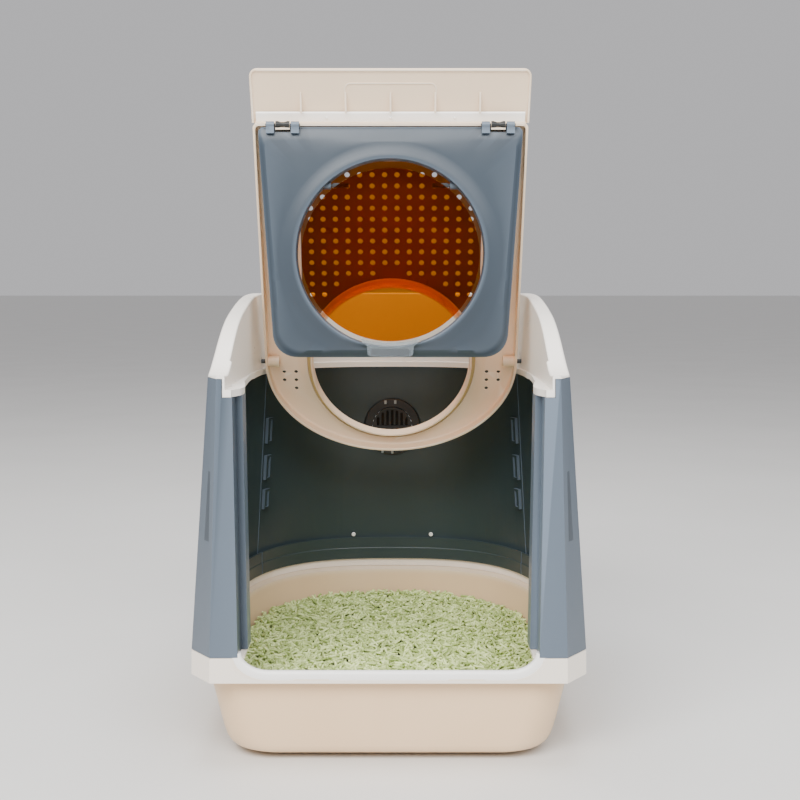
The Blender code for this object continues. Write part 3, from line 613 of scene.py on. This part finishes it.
def make_walls():
    for side, sign in (("right", 1), ("left", -1)):
        levels = (RIM_TOP + GAP, WALL_TOP)
        loops = []
        for z in levels:
            outline = ribbon(pillar_path(z), WALL, (0, 1))
            loops.append(at_height([(sign * x, y) for x, y in outline], z))
        panel = loft(f"fine_side_panel_{side}", loops)

        def band_path(z, sign=sign):
            half_width, rear, _ = hood_size(z)
            path = [(half_width, FRONT + 0.068)] + rear_arc(half_width, rear, side_angles())
            return [(sign * x, y) for x, y in path][::sign]

        join(panel, band("band", band_path, (0, 1) if sign > 0 else (1, 0)))
        xs = sorted((sign * 0.140, sign * 0.1781))
        cut(panel, box("notch", (xs[0], FRONT - 0.01, LEDGE_TOP - 0.0079), (xs[1], 0.0, 0.44)))
        settle(panel, blue, "hood", f"side_panel_{side}", edge=0.0009)
        split_inside(panel, cabin_painted_shade, lambda c: c.y > FRONT + 0.058)

    first, last = SPLIT + 0.25, 180 - SPLIT - 0.25
    angles = [first - FINE] + fine_angles(first, last) + [last + FINE]

    def back_path(z):
        half_width, rear, _ = hood_size(z)
        return rear_arc(half_width, rear, angles)

    loops = [at_height(ribbon(back_path(z), WALL, (1, 1)), z) for z in (RIM_TOP + GAP, WALL_TOP)]
    panel = loft("fine_back_panel", loops)
    join(panel, band("band", back_path, (1, 1)))
    for sign in (1, -1):
        for low, high in ((0.2920, 0.3280), (0.2405, 0.2750), (0.1990, 0.2270)):
            def patch(z, sign=sign, spread=(1.4, 5.0)):
                half_width, rear, _ = hood_size(z)
                path = rear_arc(half_width, rear, (SPLIT + spread[0], SPLIT + spread[1]))
                return [(sign * x, y) for x, y in path][::sign]

            section = [(WALL - 0.0006, low), (0.0080, low), (0.0080, high), (WALL - 0.0006, high)]
            join(panel, swept("housing", patch, section))
            def slot(z, sign=sign):
                return patch(z, sign, (2.2, 4.2))
            inner = [
                (0.0050, low + 0.003), (0.0100, low + 0.003), (0.0100, high - 0.003),
                (0.0050, high - 0.003)
            ]
            cut(panel, swept("slot", slot, inner))
        x = sign * 0.061
        depth = rear_y_at(abs(x), 0.4135) - WALL
        join(
            panel,
            box("tab", (x - 0.0165, depth - 0.0026, 0.4070), (x + 0.0165, depth + 0.001, 0.4108))
        )
    cut(panel, cylinder("vent", "y", (0.0, VENT_Z), 0.034, 0.2, 0.3, 64))
    settle(panel, blue, "hood", "back_panel", edge=0.0004)
    split_inside(panel, cabin_painted_shade, lambda c: True)
    for side, sign in (("right", 1), ("left", -1)):
        low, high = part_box(f"wall_peg_{side}")
        x, z = (low[0] + high[0]) / 2, (low[2] + high[2]) / 2
        profile = [
            (0.0, low[1]), (0.0022, low[1]), (0.0030, low[1] + 0.0008), (0.0030, low[1] + 0.002),
            (0.0022, low[1] + 0.003), (0.0022, high[1])
        ]
        loops = []
        for r, h in profile:
            r = max(r, 0.0004)
            loops.append([(x + px, h, z + pz) for px, pz in ring_points(r, r, 16)])
        settle(loft(f"fine_wall_peg_{side}", loops), white, "hood", f"wall_peg_{side}", edge=0.0)


def rear_y_at(x, z):
    half_width, rear, _ = hood_size(z)
    return rear * (1 - (x / half_width) ** REAR_POWER) ** (1 / REAR_POWER)


PARAPET_LENGTH = 0.33
PARAPET_HEIGHTS = [
    0.4185, 0.4185, 0.433, 0.4515, 0.4670, 0.4780, 0.4850, 0.4910, 0.4960, 0.5000, 0.5025, 0.504
]


def parapet_height(y):
    """Height of the collar's top edge, from the low front to the level rear."""
    share, highest = (y - FRONT) / PARAPET_LENGTH, PARAPET_HEIGHTS[-1]
    if share >= 1:
        return highest
    return min(curve_between(PARAPET_HEIGHTS, max(share, 0.0)), highest)


# the ledge's inner edge as (y, x), and the places where the collar's sections stand
LEDGE_LINE = (
    (-0.2485, 0.1684), (-0.243, 0.1674), (-0.234, 0.1640), (-0.225, 0.1612), (-0.215, 0.1600),
    (-0.205, 0.1600), (-0.1945, 0.1606), (-0.165, 0.1645), (-0.13, 0.170), (-0.05, 0.1755),
    (0.0, 0.1774)
)
COLLAR_STATIONS = [
    -0.2485, -0.246, -0.243, -0.238, -0.234, -0.229, -0.225, -0.220, -0.215, -0.210, -0.205,
    -0.200, -0.1945, -0.1935
] + [-0.18 + 0.01 * k for k in range(18)]


def make_collar():
    half_width, rear, corner = hood_size(WALL_TOP)
    inside, foot = LEDGE_TOP - 0.0075, WALL_TOP + GAP
    stations = []
    for y in COLLAR_STATIONS:
        for (y0, e0), (y1, e1) in zip(LEDGE_LINE, LEDGE_LINE[1:]):
            if y0 <= y <= y1:
                edge = between(e0, e1, (y - y0) / (y1 - y0))
        outer = half_width - corner * max(0.0, 1 - (y - FRONT) / CORNER_Y)
        stations.append(((outer, y), True, edge))
    angles = fine_angles(0, 90)
    for outer, inner in zip(
        rear_arc(half_width, rear, angles), rear_arc(0.1775, rear - 0.0155, angles)
    ):
        stations.append((outer, False, inner))

    def section(station, sign):
        (x, y), straight, edge = station
        top = parapet_height(y)
        if straight:
            on_pillar = y < -0.194
            inner = (0.1775 - (0.0023 if on_pillar else 0.0), y)
            ledge_edge = (edge, y)
            buried = (0.1777 if on_pillar else half_width - WALL - 0.0015, y)
        else:
            inner = edge
            ledge_edge = (edge[0] * 0.987, edge[1] * 0.987)
            toward = Vector((edge[0] - x, edge[1] - y)).normalized()
            buried = (x + toward.x * 0.0047, y + toward.y * 0.0047)
        lean = 0.003 * min(1.0, (top - foot) / 0.089)
        toward = Vector((inner[0] - x, inner[1] - y)).normalized()
        width = math.dist(inner, (x, y))
        loop = [(x, y, foot)]
        radius = min(0.0035, width * 0.4, top - foot)
        for k in range(5):
            t = math.radians(22.5 * k)
            reach = lean + radius * (1 - math.cos(t))
            loop.append(
                (x + toward.x * reach, y + toward.y * reach, top - radius * (1 - math.sin(t)))
            )
        radius = min(0.0025, width * 0.3)
        for k in range(4):
            t = math.radians(30 * k)
            back = radius * (1 - math.sin(t))
            z = top - radius * (1 - math.cos(t))
            loop.append((inner[0] - toward.x * back, inner[1] - toward.y * back, z))
        loop += [
            (*inner, LEDGE_TOP + 0.002),
            (inner[0] + toward.x * 0.0004, inner[1] + toward.y * 0.0004, LEDGE_TOP + 0.0004),
            (*ledge_edge, LEDGE_TOP),
            (*ledge_edge, inside),
            (*buried, inside),
            (*buried, foot),
        ]
        return [(sign * px, py, pz) for px, py, pz in loop]

    loops = [section(station, 1) for station in stations]
    loops += [section(station, -1) for station in stations[:-1][::-1]]
    collar = loft("fine_top_collar", loops)
    for sign in (1, -1):
        low, high = sorted((sign * 0.150, sign * 0.1885))
        cut(collar, cylinder("bore", "x", (PIVOT.y, PIVOT.z), 0.0035, low, high, 24))
    settle(collar, collar_white, "hood", "top_collar", edge=0.0004)


def make_vent():
    wall_y = between(RIM_SIZE[1], TOP_SIZE[1], height_share(VENT_Z))
    flange = wall_y - WALL - 0.0042
    centre = (0.0, VENT_Z)
    ring = turned("fine_vent_ring", "y", centre, [
        (0.0295, flange - 0.0020), (0.0300, flange - 0.0030), (0.0395, flange - 0.0030),
        (0.0410, flange - 0.0024), (0.0420, flange - 0.0005), (0.0420, flange),
        (0.0330, flange), (0.0330, wall_y + 0.0022), (0.0295, wall_y + 0.0022)])
    settle(ring, black, "hood", "vent_ring", edge=0.0)
    grille = cylinder("fine_vent_grille", "y", centre, 0.0290, flange - 0.0045, flange - 0.0020, 64)
    for x in (-0.021, -0.014, -0.007, 0.0, 0.007, 0.014, 0.021):
        half = math.sqrt(0.0255**2 - x**2)
        outline = rounded_rectangle(
            (x - 0.0021, VENT_Z - half), (x + 0.0021, VENT_Z + half), 0.0020
        )
        cut(grille, prism("slot", outline, flange - 0.01, flange + 0.01, "y"))
    join(
        grille,
        box(
            "grip", (-0.0235, flange - 0.0048, VENT_Z - 0.0018),
            (0.0235, flange - 0.0022, VENT_Z + 0.0018)
        )
    )
    settle(grille, black, "vent", "vent_grille", edge=0.0003)
    for i, (x, z) in enumerate(
        ((-0.010, 0.0365), (0.0045, 0.0368), (-0.0145, -0.0360), (0.0, -0.0370))
    ):
        low, high = (x - 0.0017, flange - 0.0042, VENT_Z + z - 0.0026), (
            x + 0.0017, flange - 0.0029, VENT_Z + z + 0.0026
        )
        settle(
            box(f"vent_clip_{i + 1}", low, high), grey, "hood", edge=0.0003
        )
    cap = prism(
        "fine_vent_cap", ring_points(0.0378, 0.0378, 96, centre), wall_y + 0.0028, wall_y + 0.0052,
        "y"
    )
    for k in range(3):
        for i in range(12 + 6 * k):
            t = 2 * math.pi * i / (12 + 6 * k)
            r = 0.011 + 0.0085 * k
            spot = (r * math.cos(t), VENT_Z + r * math.sin(t))
            if k:
                cut(cap, cylinder("vent hole", "y", spot, 0.0017, wall_y, wall_y + 0.01, 10))
    settle(cap, black, "hood", "vent_cap", edge=0.0003)


# Lid


def lid_outline(inset, steps=36):
    front = FRONT - 0.003 + inset
    side = LID_HALF_WIDTH - inset
    right = []
    for k in range(5):
        t = math.radians(-90 + 22.5 * k)
        right.append((side - 0.006 + 0.006 * math.cos(t), front + 0.006 + 0.006 * math.sin(t)))
    for k in range(1, 10):
        x = between(side, LID_REAR_HALF_WIDTH - inset, k / 10)
        right.append((x, between(front + 0.006, PIVOT.y, k / 10)))
    for k in range(steps):
        t = math.pi / 2 * k / steps
        x = (LID_REAR_HALF_WIDTH - inset) * math.cos(t)
        right.append((x, PIVOT.y + (LID_REAR - inset) * math.sin(t)))
    return right + [(0.0, PIVOT.y + LID_REAR - inset)] + mirrored(right)[::-1]


def grille_outline(inset):
    half, near, far = 0.118 - inset, PIVOT.y - 0.046 - inset, PIVOT.y - 0.272 + inset
    radius = EXIT_RADIUS + 0.0095 + inset
    edge = math.asin(0.046 / radius)
    arc = []
    for k in range(33):
        t = between(math.pi + edge, 2 * math.pi - edge, k / 32)
        arc.append((radius * math.cos(t), PIVOT.y + radius * math.sin(t)))
    right = [(half, near)]
    for k in range(6):
        t = math.radians(-90 * k / 5)
        right.append((half - 0.012 + 0.012 * math.cos(t), far + 0.012 + 0.012 * math.sin(t)))
    return mirrored(right) + right[::-1] + arc[::-1]


def make_lid():
    front = FRONT - 0.003
    bottom = LEDGE_TOP + GAP
    loops = [
        at_height(lid_outline(0.0020), LID_TOP),
        at_height(lid_outline(0.0006), LID_TOP - 0.0005),
        at_height(lid_outline(0.0), LID_TOP - 0.0018),
        at_height(lid_outline(0.0), bottom + 0.0004),
        at_height(lid_outline(0.0006), bottom),
        at_height(lid_outline(0.0024), bottom),
        at_height(lid_outline(0.0030), bottom + 0.0005),
        at_height(lid_outline(0.0030), LID_TOP - 0.0045),
        at_height(lid_outline(0.0045), LID_TOP - 0.0030),
    ]
    lid = loft("fine_lid", loops)
    skirt = rounded_rectangle((-0.170, 0.4015), (0.170, 0.4210), 0.004)
    join(lid, prism("skirt", skirt, front - 0.0001, front + 0.0028, "y"))
    droop = math.radians(10.0)
    along, across = Vector((-math.cos(droop), -math.sin(droop))), Vector(
        (math.sin(droop), -math.cos(droop))
    )
    root = Vector((front + 0.0012, LID_TOP - 0.0006))

    def eave_point(u, depth):
        spot = root + along * u + across * depth
        return spot.x, spot.y

    # the eave is drawn flat, then leans down from the skirt
    outline = [(0.175, 0.0)]
    for k in range(7):
        t = math.radians(90 * k / 6)
        outline.append((0.175 - 0.010 + 0.010 * math.cos(t), 0.070 - 0.010 + 0.010 * math.sin(t)))
    outline = outline + mirrored(outline)[::-1]
    eave_loops = []
    for inset, depth in (
        (0.0008, 0.0), (0.0, 0.0008), (0.0, 0.0034), (0.0008, 0.0042), (0.0026, 0.0042),
        (0.0030, 0.0026)
    ):
        loop = []
        for x, u in outline:
            shrink = math.copysign(max(abs(x) - inset, 0.0), x)
            loop.append((shrink, *eave_point(min(u, 0.070 - inset), depth)))
        eave_loops.append(loop)
    join(lid, loft("eave", eave_loops))
    for x in (-0.112, -0.056, 0.0, 0.056, 0.112):
        rib = []
        for u, depth in (
            (0.0150, 0.0030), (0.0150, 0.0100), (0.0180, 0.0100), (0.0400, 0.0042), (0.0400, 0.0030)
        ):
            rib.append(eave_point(u, depth))
        join(lid, prism("rib", rib, x - 0.0011, x + 0.0011, "x"))
    for sign in (1, -1):
        low, high = sorted((sign * 0.150, sign * (LID_REAR_HALF_WIDTH - 0.001)))
        join(lid, cylinder("boss", "x", (PIVOT.y, PIVOT.z), 0.0075, low, high, 32))
    r = EXIT_RADIUS
    rim = turned("exit rim", "z", (0.0, PIVOT.y), [
        (r, 0.4074), (r + 0.0006, 0.4066), (r + 0.0024, 0.4066), (r + 0.0030, 0.4074),
        (r + 0.0030, 0.4232), (r + 0.0022, 0.4240), (r + 0.0008, 0.4240), (r, 0.4232)], 128)
    cut(lid, cylinder("exit", "z", (0.0, PIVOT.y), r + 0.0015, 0.35, 0.5, 128))
    join(lid, rim)
    ridge = turned("ridge", "z", (0.0, PIVOT.y), [
        (r + 0.0084, 0.4155), (r + 0.0096, 0.4155),
        (r + 0.0096, 0.4200), (r + 0.0084, 0.4200)], 128)
    join(lid, ridge)
    cut(lid, prism("window", grille_outline(0.0), 0.3, 0.5))
    for sign in (1, -1):
        for x, y in (
            (0.145, 0.018), (0.129, 0.018), (0.145, 0.030), (0.129, 0.030), (0.129, 0.042)
        ):
            cut(lid, cylinder("drain", "z", (sign * x, PIVOT.y + y), 0.0026, 0.3, 0.5, 20))
        low, high = sorted((sign * 0.146, sign * 0.180))
        cut(lid, cylinder("bore", "x", (PIVOT.y, PIVOT.z), 0.0034, low, high, 24))
    settle(lid, cream, "lid", "lid", LID_PLACE, edge=0.0004)
    groove = turned("exit_groove", "z", (0.0, PIVOT.y), [
        (r + 0.0034, 0.4170), (r + 0.0080, 0.4170),
        (r + 0.0080, 0.4188), (r + 0.0034, 0.4188)], 128)
    cut(groove, box("open front", (-0.2, -0.3, 0.3), (0.2, PIVOT.y - 0.03, 0.5)))
    settle(groove, groove_gold, "lid", None, LID_PLACE, edge=0.0)
    # the eave's root as a white band, a painted highlight for its upward-lit face, with three
    # moulding pips in the same white
    strip = []
    for u, depth in (
        (0.0006, 0.0040), (0.0016, 0.0062), (0.0135, 0.0062), (0.0148, 0.0050), (0.0150, 0.0040)
    ):
        strip.append(eave_point(u, depth))
    # painted highlight: white stands for the light on the cream eave's upturned root
    band = prism("eave_root_painted_highlight", strip, -0.1690, 0.1690, "x")
    settle(band, white, "lid", None, LID_PLACE, edge=0.0)
    for i, x in enumerate((-0.0805, 0.0, 0.0805)):
        pip = []
        for radius, depth in (
            (0.0015, 0.0060), (0.0015, 0.0070), (0.0009, 0.0076), (0.0002, 0.0076)
        ):
            ring = ring_points(radius, radius, 12)
            pip.append([(x + a, *eave_point(0.0075 + b, depth)) for a, b in ring])
        pip = loft(f"skirt_pip_{i + 1}", pip)
        settle(pip, white, "lid", None, LID_PLACE, edge=0.0)
    border = []
    path = [(x, u) for x, u in rounded_rectangle((-0.0575, 0.012), (0.0575, 0.052), 0.008, 6)]
    inner_path = offset_path(path, 0.0012, True)
    for points, depth in (
        (path, 0.0024), (path, 0.0034), (inner_path, 0.0034), (inner_path, 0.0024)
    ):
        border.append([(x, *eave_point(u, depth)) for x, u in points])
    border = loft("eave_recess_line", border, closed=True)
    settle(border, cream, "lid", None, LID_PLACE, edge=0.0)


def make_grille():
    low, high = 0.4188, 0.4214
    grille = prism("fine_tread_grille", grille_outline(0.0005), low, high)
    points, faces = [], []
    sides = 16
    for row in range(12):
        y = PIVOT.y - 0.254 + row * 0.0147
        for column in range(14):
            x = (column - 6.5) * 0.016
            if math.hypot(x, y - PIVOT.y) <= EXIT_RADIUS + 0.0175:
                continue
            first = len(points)
            rim = ring_points(0.0034, 0.0034, sides, (x, y))
            points += at_height(rim, low - 0.002) + at_height(rim, high + 0.002)
            faces.append(tuple(first + i for i in reversed(range(sides))))
            faces.append(tuple(first + sides + i for i in range(sides)))
            for i in range(sides):
                j = (i + 1) % sides
                faces.append((first + i, first + j, first + sides + j, first + sides + i))
    cut(grille, mesh_object("holes", points, faces))
    # the deck takes the brown painted shade colour
    settle(grille, grille_painted_shade, "lid", "tread_grille", LID_PLACE, edge=0.0)


def make_clips():
    for side, sign in (("right", 1), ("left", -1)):
        x = sign * 0.134
        plate = box(
            f"fine_lid_clip_{side}", (x - 0.009, FRONT + 0.0004, 0.3920),
            (x + 0.009, FRONT + 0.0029, 0.4146)
        )
        join(plate, cylinder("barrel", "x", (-0.253, 0.395), 0.0028, x - 0.009, x + 0.009, 32))
        cut(plate, cylinder("bore", "x", (-0.253, 0.395), 0.0021, x - 0.02, x + 0.02, 20))
        settle(plate, cream, "lid", f"lid_clip_{side}", LID_PLACE, edge=0.0004)
        spool = []
        for dx, radius in (
            (-0.0086, 0.0044), (-0.0060, 0.0044), (-0.0020, 0.0030), (0.0020, 0.0030),
            (0.0060, 0.0044), (0.0086, 0.0044)
        ):
            spool.append(
                [(x + dx, -0.253 + a, 0.395 + b) for a, b in ring_points(radius, radius, 24)]
            )
        spool = loft(f"hinge_spool_{side}", spool)
        settle(spool, black, "lid", None, LID_PLACE, edge=0.0)


# Front panel


def panel_outline(inset, drop):
    top, bottom = -0.0020 - drop, -0.2895 + inset
    high, low = 0.1655 - inset, 0.147 - inset
    right = []
    for k in range(5):
        t = math.radians(90 - 22.5 * k)
        right.append((high - 0.007 + 0.007 * math.cos(t), top - 0.007 + 0.007 * math.sin(t)))
    for k in range(9):
        t = math.radians(-90 * k / 8)
        right.append((low - 0.030 + 0.030 * math.cos(t), bottom + 0.030 + 0.030 * math.sin(t)))
    return right + mirrored(right)[::-1]


def outline_reach(outline, angle):
    """How far the outline is from the doorway's centre in a direction."""
    direction = Vector((math.cos(angle), math.sin(angle)))
    best = 0.0
    for (x0, z0), (x1, z1) in zip(outline, outline[1:] + outline[:1]):
        ax, az = x0, z0 + DOOR_DROP
        bx, bz = x1 - x0, z1 - z0
        determinant = direction.x * -bz + bx * direction.y
        if abs(determinant) < 1e-12:
            continue
        reach = (ax * -bz + bx * az) / determinant
        along = (direction.x * az - direction.y * ax) / determinant
        if -1e-9 <= along <= 1 + 1e-9 and reach > 0:
            best = max(best, reach)
    return best


# how far each line of the panel's section is drawn in from the sides, and from the top
PANEL_INSETS = (
    (0.0, 0.0), (0.0012, 0.0013), (0.0040, 0.0042), (0.0090, 0.0180), (0.0120, 0.0200),
    (0.003, 0.003)
)
# the section as (which edge it follows, distance from that edge, depth), from the back of the
# outer edge over the face into the doorway, and back along the inside
PANEL_SECTION = (
    ("edge", 0.0, 0.0215), ("edge", 0.0, 0.0068), ("edge", 0.0012, 0.0052),
    ("edge", 0.0040, 0.0036), ("edge", 0.0090, -0.0002),
    ("ring", 0.0224, -0.0005), ("ring", 0.0190, -0.0007), ("ring", 0.0140, -0.0014),
    ("ring", 0.0090, -0.0026), ("ring", 0.0060, -0.0032), ("ring", 0.0030, -0.0036),
    ("ring", 0.0010, -0.0028), ("ring", 0.0, -0.0010), ("ring", 0.0, 0.0182),
    ("ring", 0.0006, 0.0185), ("ring", 0.0050, 0.0185), ("ring", 0.0050, 0.0040),
    ("edge", 0.0120, 0.0030), ("edge", 0.003, 0.0095), ("edge", 0.003, 0.0215)
)


def make_panel():
    count = 240
    angles = [2 * math.pi * (i + 0.5) / count for i in range(count)]
    edges = {}
    for inset, drop in PANEL_INSETS:
        outline = panel_outline(inset, drop)
        edges[inset] = [outline_reach(outline, angle) for angle in angles]
    face = edges[0.0090]
    loops = []
    for kind, amount, y in PANEL_SECTION:
        loop = []
        for i, angle in enumerate(angles):
            if kind == "edge":
                reach = edges[amount][i]
            else:
                room = face[i] - DOOR_RADIUS - 0.0015
                reach = DOOR_RADIUS + min(amount, room * amount / 0.0225)
            loop.append((reach * math.cos(angle), y, -DOOR_DROP + reach * math.sin(angle)))
        loops.append(loop)
    panel = loft("fine_front_panel", loops, closed=True)
    axis_z = -DOOR_DROP + FLAP_AXIS_UP
    for sign in (1, -1):
        x = sign * 0.134
        low, high = sorted((sign * 0.0745, sign * 0.0885))
        join(panel, cylinder("lug", "x", (0.008, axis_z), 0.005, low, high, 24))
        cut(panel, box("notch", (x - 0.0102, -0.01, -0.0085), (x + 0.0102, 0.0175, 0.01)))
        for end in (1, -1):
            low, high = sorted((x + end * 0.0105, x + end * 0.0205))
            join(panel, box("web", (low, -0.0030, -0.0110), (high, 0.0090, -0.0020)))
            join(panel, cylinder("knuckle", "x", (0.0, 0.0), 0.0040, low, high, 28))
        low, high = sorted((sign * 0.0700, sign * 0.0905))
        cut(panel, cylinder("bore", "x", (0.008, axis_z), 0.0025, low, high, 16))
        cut(panel, cylinder("pin bore", "x", (0.0, 0.0), 0.0020, x - 0.03, x + 0.03, 16))
    settle(panel, blue, "panel", "front_panel", PANEL_PLACE, edge=0.0)


def make_flap():
    rings = [
        (0.1102, 0.1072, -0.0055), (0.1110, 0.1080, -0.0050), (0.1110, 0.1080, -0.0035),
        (0.1102, 0.1072, -0.0030)
    ]
    loops = []
    for rx, rz, y in rings:
        loops.append([(x, y, z) for x, z in ring_points(rx, rz, 128, (0.0, -FLAP_AXIS_UP - 0.002))])
    flap = loft("fine_door_flap", loops)
    settle(flap, amber, "flap", "door_flap", FLAP_PLACE, edge=0.0)
    for side, sign in (("right", 1), ("left", -1)):
        low, high = sorted((sign * 0.0520, sign * 0.0718))
        bracket = prism(
            f"flap_bracket_{side}", rounded_rectangle((-0.0029, -0.0029), (0.0029, 0.0029), 0.0014),
            low, high, "x"
        )
        settle(bracket, pin, "flap", None, FLAP_PLACE, edge=0.0)
        bar = prism(
            f"fine_flap_pin_{side}", ring_points(0.0019, 0.0019, 20),
            *sorted((sign * 0.0719, sign * 0.0880)), "x"
        )
        settle(bar, pin, "flap", f"flap_pin_{side}", FLAP_PLACE, edge=0.0003)


def make_latch():
    top = -DOOR_DROP - 0.110 - 0.0015
    right = []
    for k in range(13):
        x = 0.036 * k / 12
        right.append((x, top + 0.0048 * (x / 0.036) ** 2))
    right += [
        (0.0362, top + 0.0040), (0.0345, top + 0.0005), (0.0290, top - 0.0040),
        (0.0283, top - 0.0125), (0.0275, top - 0.0150), (0.0250, top - 0.0166),
        (0.0150, top - 0.0173), (0.0, top - 0.0175)
    ]
    outline = right + mirrored(right[1:-1])[::-1]
    latch = prism("fine_door_latch", outline, -0.0064, -0.0040, "y")
    settle(latch, smoke, "latch", "door_latch", PANEL_PLACE, edge=0.0006)
    tab = rounded_rectangle((-0.024, top - 0.0158), (0.024, top - 0.0068), 0.003)
    rim = prism("latch_grip", tab, -0.0072, -0.0064, "y")
    settle(rim, smoke, "latch", None, PANEL_PLACE, edge=0.0003)


# Litter


def litter_height(x, y):
    """A gently raked surface, higher towards the back and uneven."""
    heap = 0.0615 + 0.0035 * math.exp(-((x / 0.16) ** 2) - ((y - 0.02) / 0.20) ** 2)
    waves = 0.0011 * math.sin(23 * x + 11 * y) + 0.0009 * math.sin(37 * y - 17 * x + 1.3)
    return heap + waves


def in_tray(x, y, margin):
    a, front, rear, radius = 0.1885 - margin, -0.232 + margin, 0.213 - margin, 0.046
    if y > 0:
        return (abs(x) / a) ** REAR_POWER + (y / rear) ** REAR_POWER < 1
    if y < front or abs(x) > a:
        return False
    corner_x, corner_y = a - radius, front + radius
    if abs(x) > corner_x and y < corner_y:
        return math.hypot(abs(x) - corner_x, y - corner_y) < radius
    return True


def make_litter():
    loops = []
    for k in range(9):
        z, a, front, b, r = tray_size(k / 8 * 0.73, 0.0038)
        loops.append(at_height(rounded_loop(a, front, b, r), min(z + 0.0034, 0.0570)))
    a, front, b, r = 0.1865, -0.2300, 0.2115, 0.044
    for share in (1.0, 0.96, 0.90, 0.8, 0.65, 0.5, 0.35, 0.2, 0.08):
        loop = []
        for x, y in rounded_loop(a, front, b, r):
            px, py = x * share, -0.01 + (y + 0.01) * share
            loop.append((px, py, litter_height(px, py) - 0.0030 - (0.003 if share == 1.0 else 0.0)))
        loops.append(loop)
    bed = loft("litter_base", loops)
    # the bed takes the painted shade colours
    settle(bed, pellets_painted_shade, "tray", "litter_bed", edge=0.0)
    dust = random.Random(7)
    sides = 6
    for part in range(4):
        points, faces, tints = [], [], []
        while len(faces) < 2600 * (sides + 2):
            x, y = dust.uniform(-0.189, 0.189), dust.uniform(-0.233, 0.214)
            length, radius = dust.uniform(0.0065, 0.0130), dust.uniform(0.00125, 0.00155)
            yaw, pitch = dust.uniform(0, math.pi), math.radians(dust.gauss(0, 19))
            layer = dust.random() ** 1.4
            tint = dust.random()
            if not in_tray(x, y, length * 0.5 + 0.0005):
                continue
            base = litter_height(x, y) - 0.0006 + 0.0058 * layer
            along = Vector(
                (math.cos(yaw) * math.cos(pitch), math.sin(yaw) * math.cos(pitch), math.sin(pitch))
            )
            side = Vector((-math.sin(yaw), math.cos(yaw), 0.0))
            up = along.cross(side)
            first = len(points)
            for end in (-0.5, 0.5):
                for i in range(sides):
                    t = 2 * math.pi * i / sides
                    spot = along * (end * length) + side * (radius * math.cos(t)) + up * (
                        radius * math.sin(t)
                    )
                    points.append((x + spot.x, y + spot.y, base + spot.z))
            faces.append(tuple(first + i for i in range(sides)))
            faces.append(tuple(first + 2 * sides - 1 - i for i in range(sides)))
            for i in range(sides):
                j = (i + 1) % sides
                faces.append((first + j, first + i, first + sides + i, first + sides + j))
            tints += [tint] * (2 * sides)
        mesh = bpy.data.meshes.new(f"litter_pellets_{part + 1}")
        mesh.from_pydata(points, [], faces)
        attribute = mesh.attributes.new("tint", "FLOAT", "POINT")
        attribute.data.foreach_set("value", np.array(tints, np.float32))
        obj = bpy.data.objects.new(mesh.name, mesh)
        bpy.context.scene.collection.objects.link(obj)
        shape = bmesh.new()
        shape.from_mesh(mesh)
        bmesh.ops.recalc_face_normals(shape, faces=shape.faces)
        shape.to_mesh(mesh)
        shape.free()
        mesh.shade_smooth()
        mesh.set_sharp_from_angle(angle=math.radians(70))
        mesh.materials.append(pellets_green)
        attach(obj, "tray")


def repaint(names, material):
    for name in names:
        mesh = nodes[name].data
        mesh.materials.clear()
        mesh.materials.append(material)


# Studio


def make_studio():
    floor = box("floor", (-30.0, -8.0, -0.02), (30.0, 60.0, 0.0))
    material, tree, shader = new_material("floor_pale", (0.70, 0.69, 0.67), 0.55)
    tone = ramp(tree, noise(tree, 3.0, 3.0), 0.3, 0.7, (0.69, 0.68, 0.66), (0.72, 0.71, 0.69))
    tree.links.new(tone.socket, shader.inputs["Base Color"])
    floor.data.materials.append(material)

    world = bpy.data.worlds.new("studio")
    world.use_nodes = True
    world.node_tree.nodes["Background"].inputs["Color"].default_value = (0.66, 0.655, 0.675, 1.0)
    world.node_tree.nodes["Background"].inputs["Strength"].default_value = 0.85
    bpy.context.scene.world = world

    lights = (
        ("key", (-1.5, -2.4, 2.7), 1.8, 135.0, (1.0, 0.985, 0.96)),
        ("fill", (1.7, -2.3, 2.2), 1.8, 55.0, (0.96, 0.98, 1.0)),
        ("front", (0.0, -3.2, 2.9), 2.0, 105.0, (1.0, 0.99, 0.97)),
        ("top", (0.0, 0.1, 2.6), 1.4, 45.0, (1.0, 1.0, 1.0)),
    )
    for name, place, size, power, colour in lights:
        light = bpy.data.lights.new(name, "AREA")
        light.size = size
        light.energy = power
        light.color = colour
        obj = bpy.data.objects.new(name, light)
        obj.location = place
        aim = Vector((0.0, 0.0, 0.35)) - Vector(place)
        obj.rotation_euler = aim.to_track_quat("-Z", "Y").to_euler()
        bpy.context.scene.collection.objects.link(obj)


def make_camera():
    data = bpy.data.cameras.new("camera")
    data.sensor_width = 36.0
    data.lens = 51.8
    data.shift_x = -0.002
    data.shift_y = -0.1425
    data.clip_start = 0.01
    obj = bpy.data.objects.new("camera", data)
    obj.location = (0.0139, FRONT - 1.227, 0.514)
    obj.rotation_euler = (math.radians(90.0), 0.0, 0.0)
    bpy.context.scene.collection.objects.link(obj)
    bpy.context.scene.camera = obj


make_camera()
make_tray()
make_rim()
make_walls()
make_collar()
make_vent()
make_lid()
make_grille()
make_clips()
make_panel()
make_flap()
make_latch()
make_litter()
repaint(("filter_pad",), foam)
repaint(("lid_pin_left", "lid_pin_right", "panel_pin_left", "panel_pin_right"), pin)
make_studio()
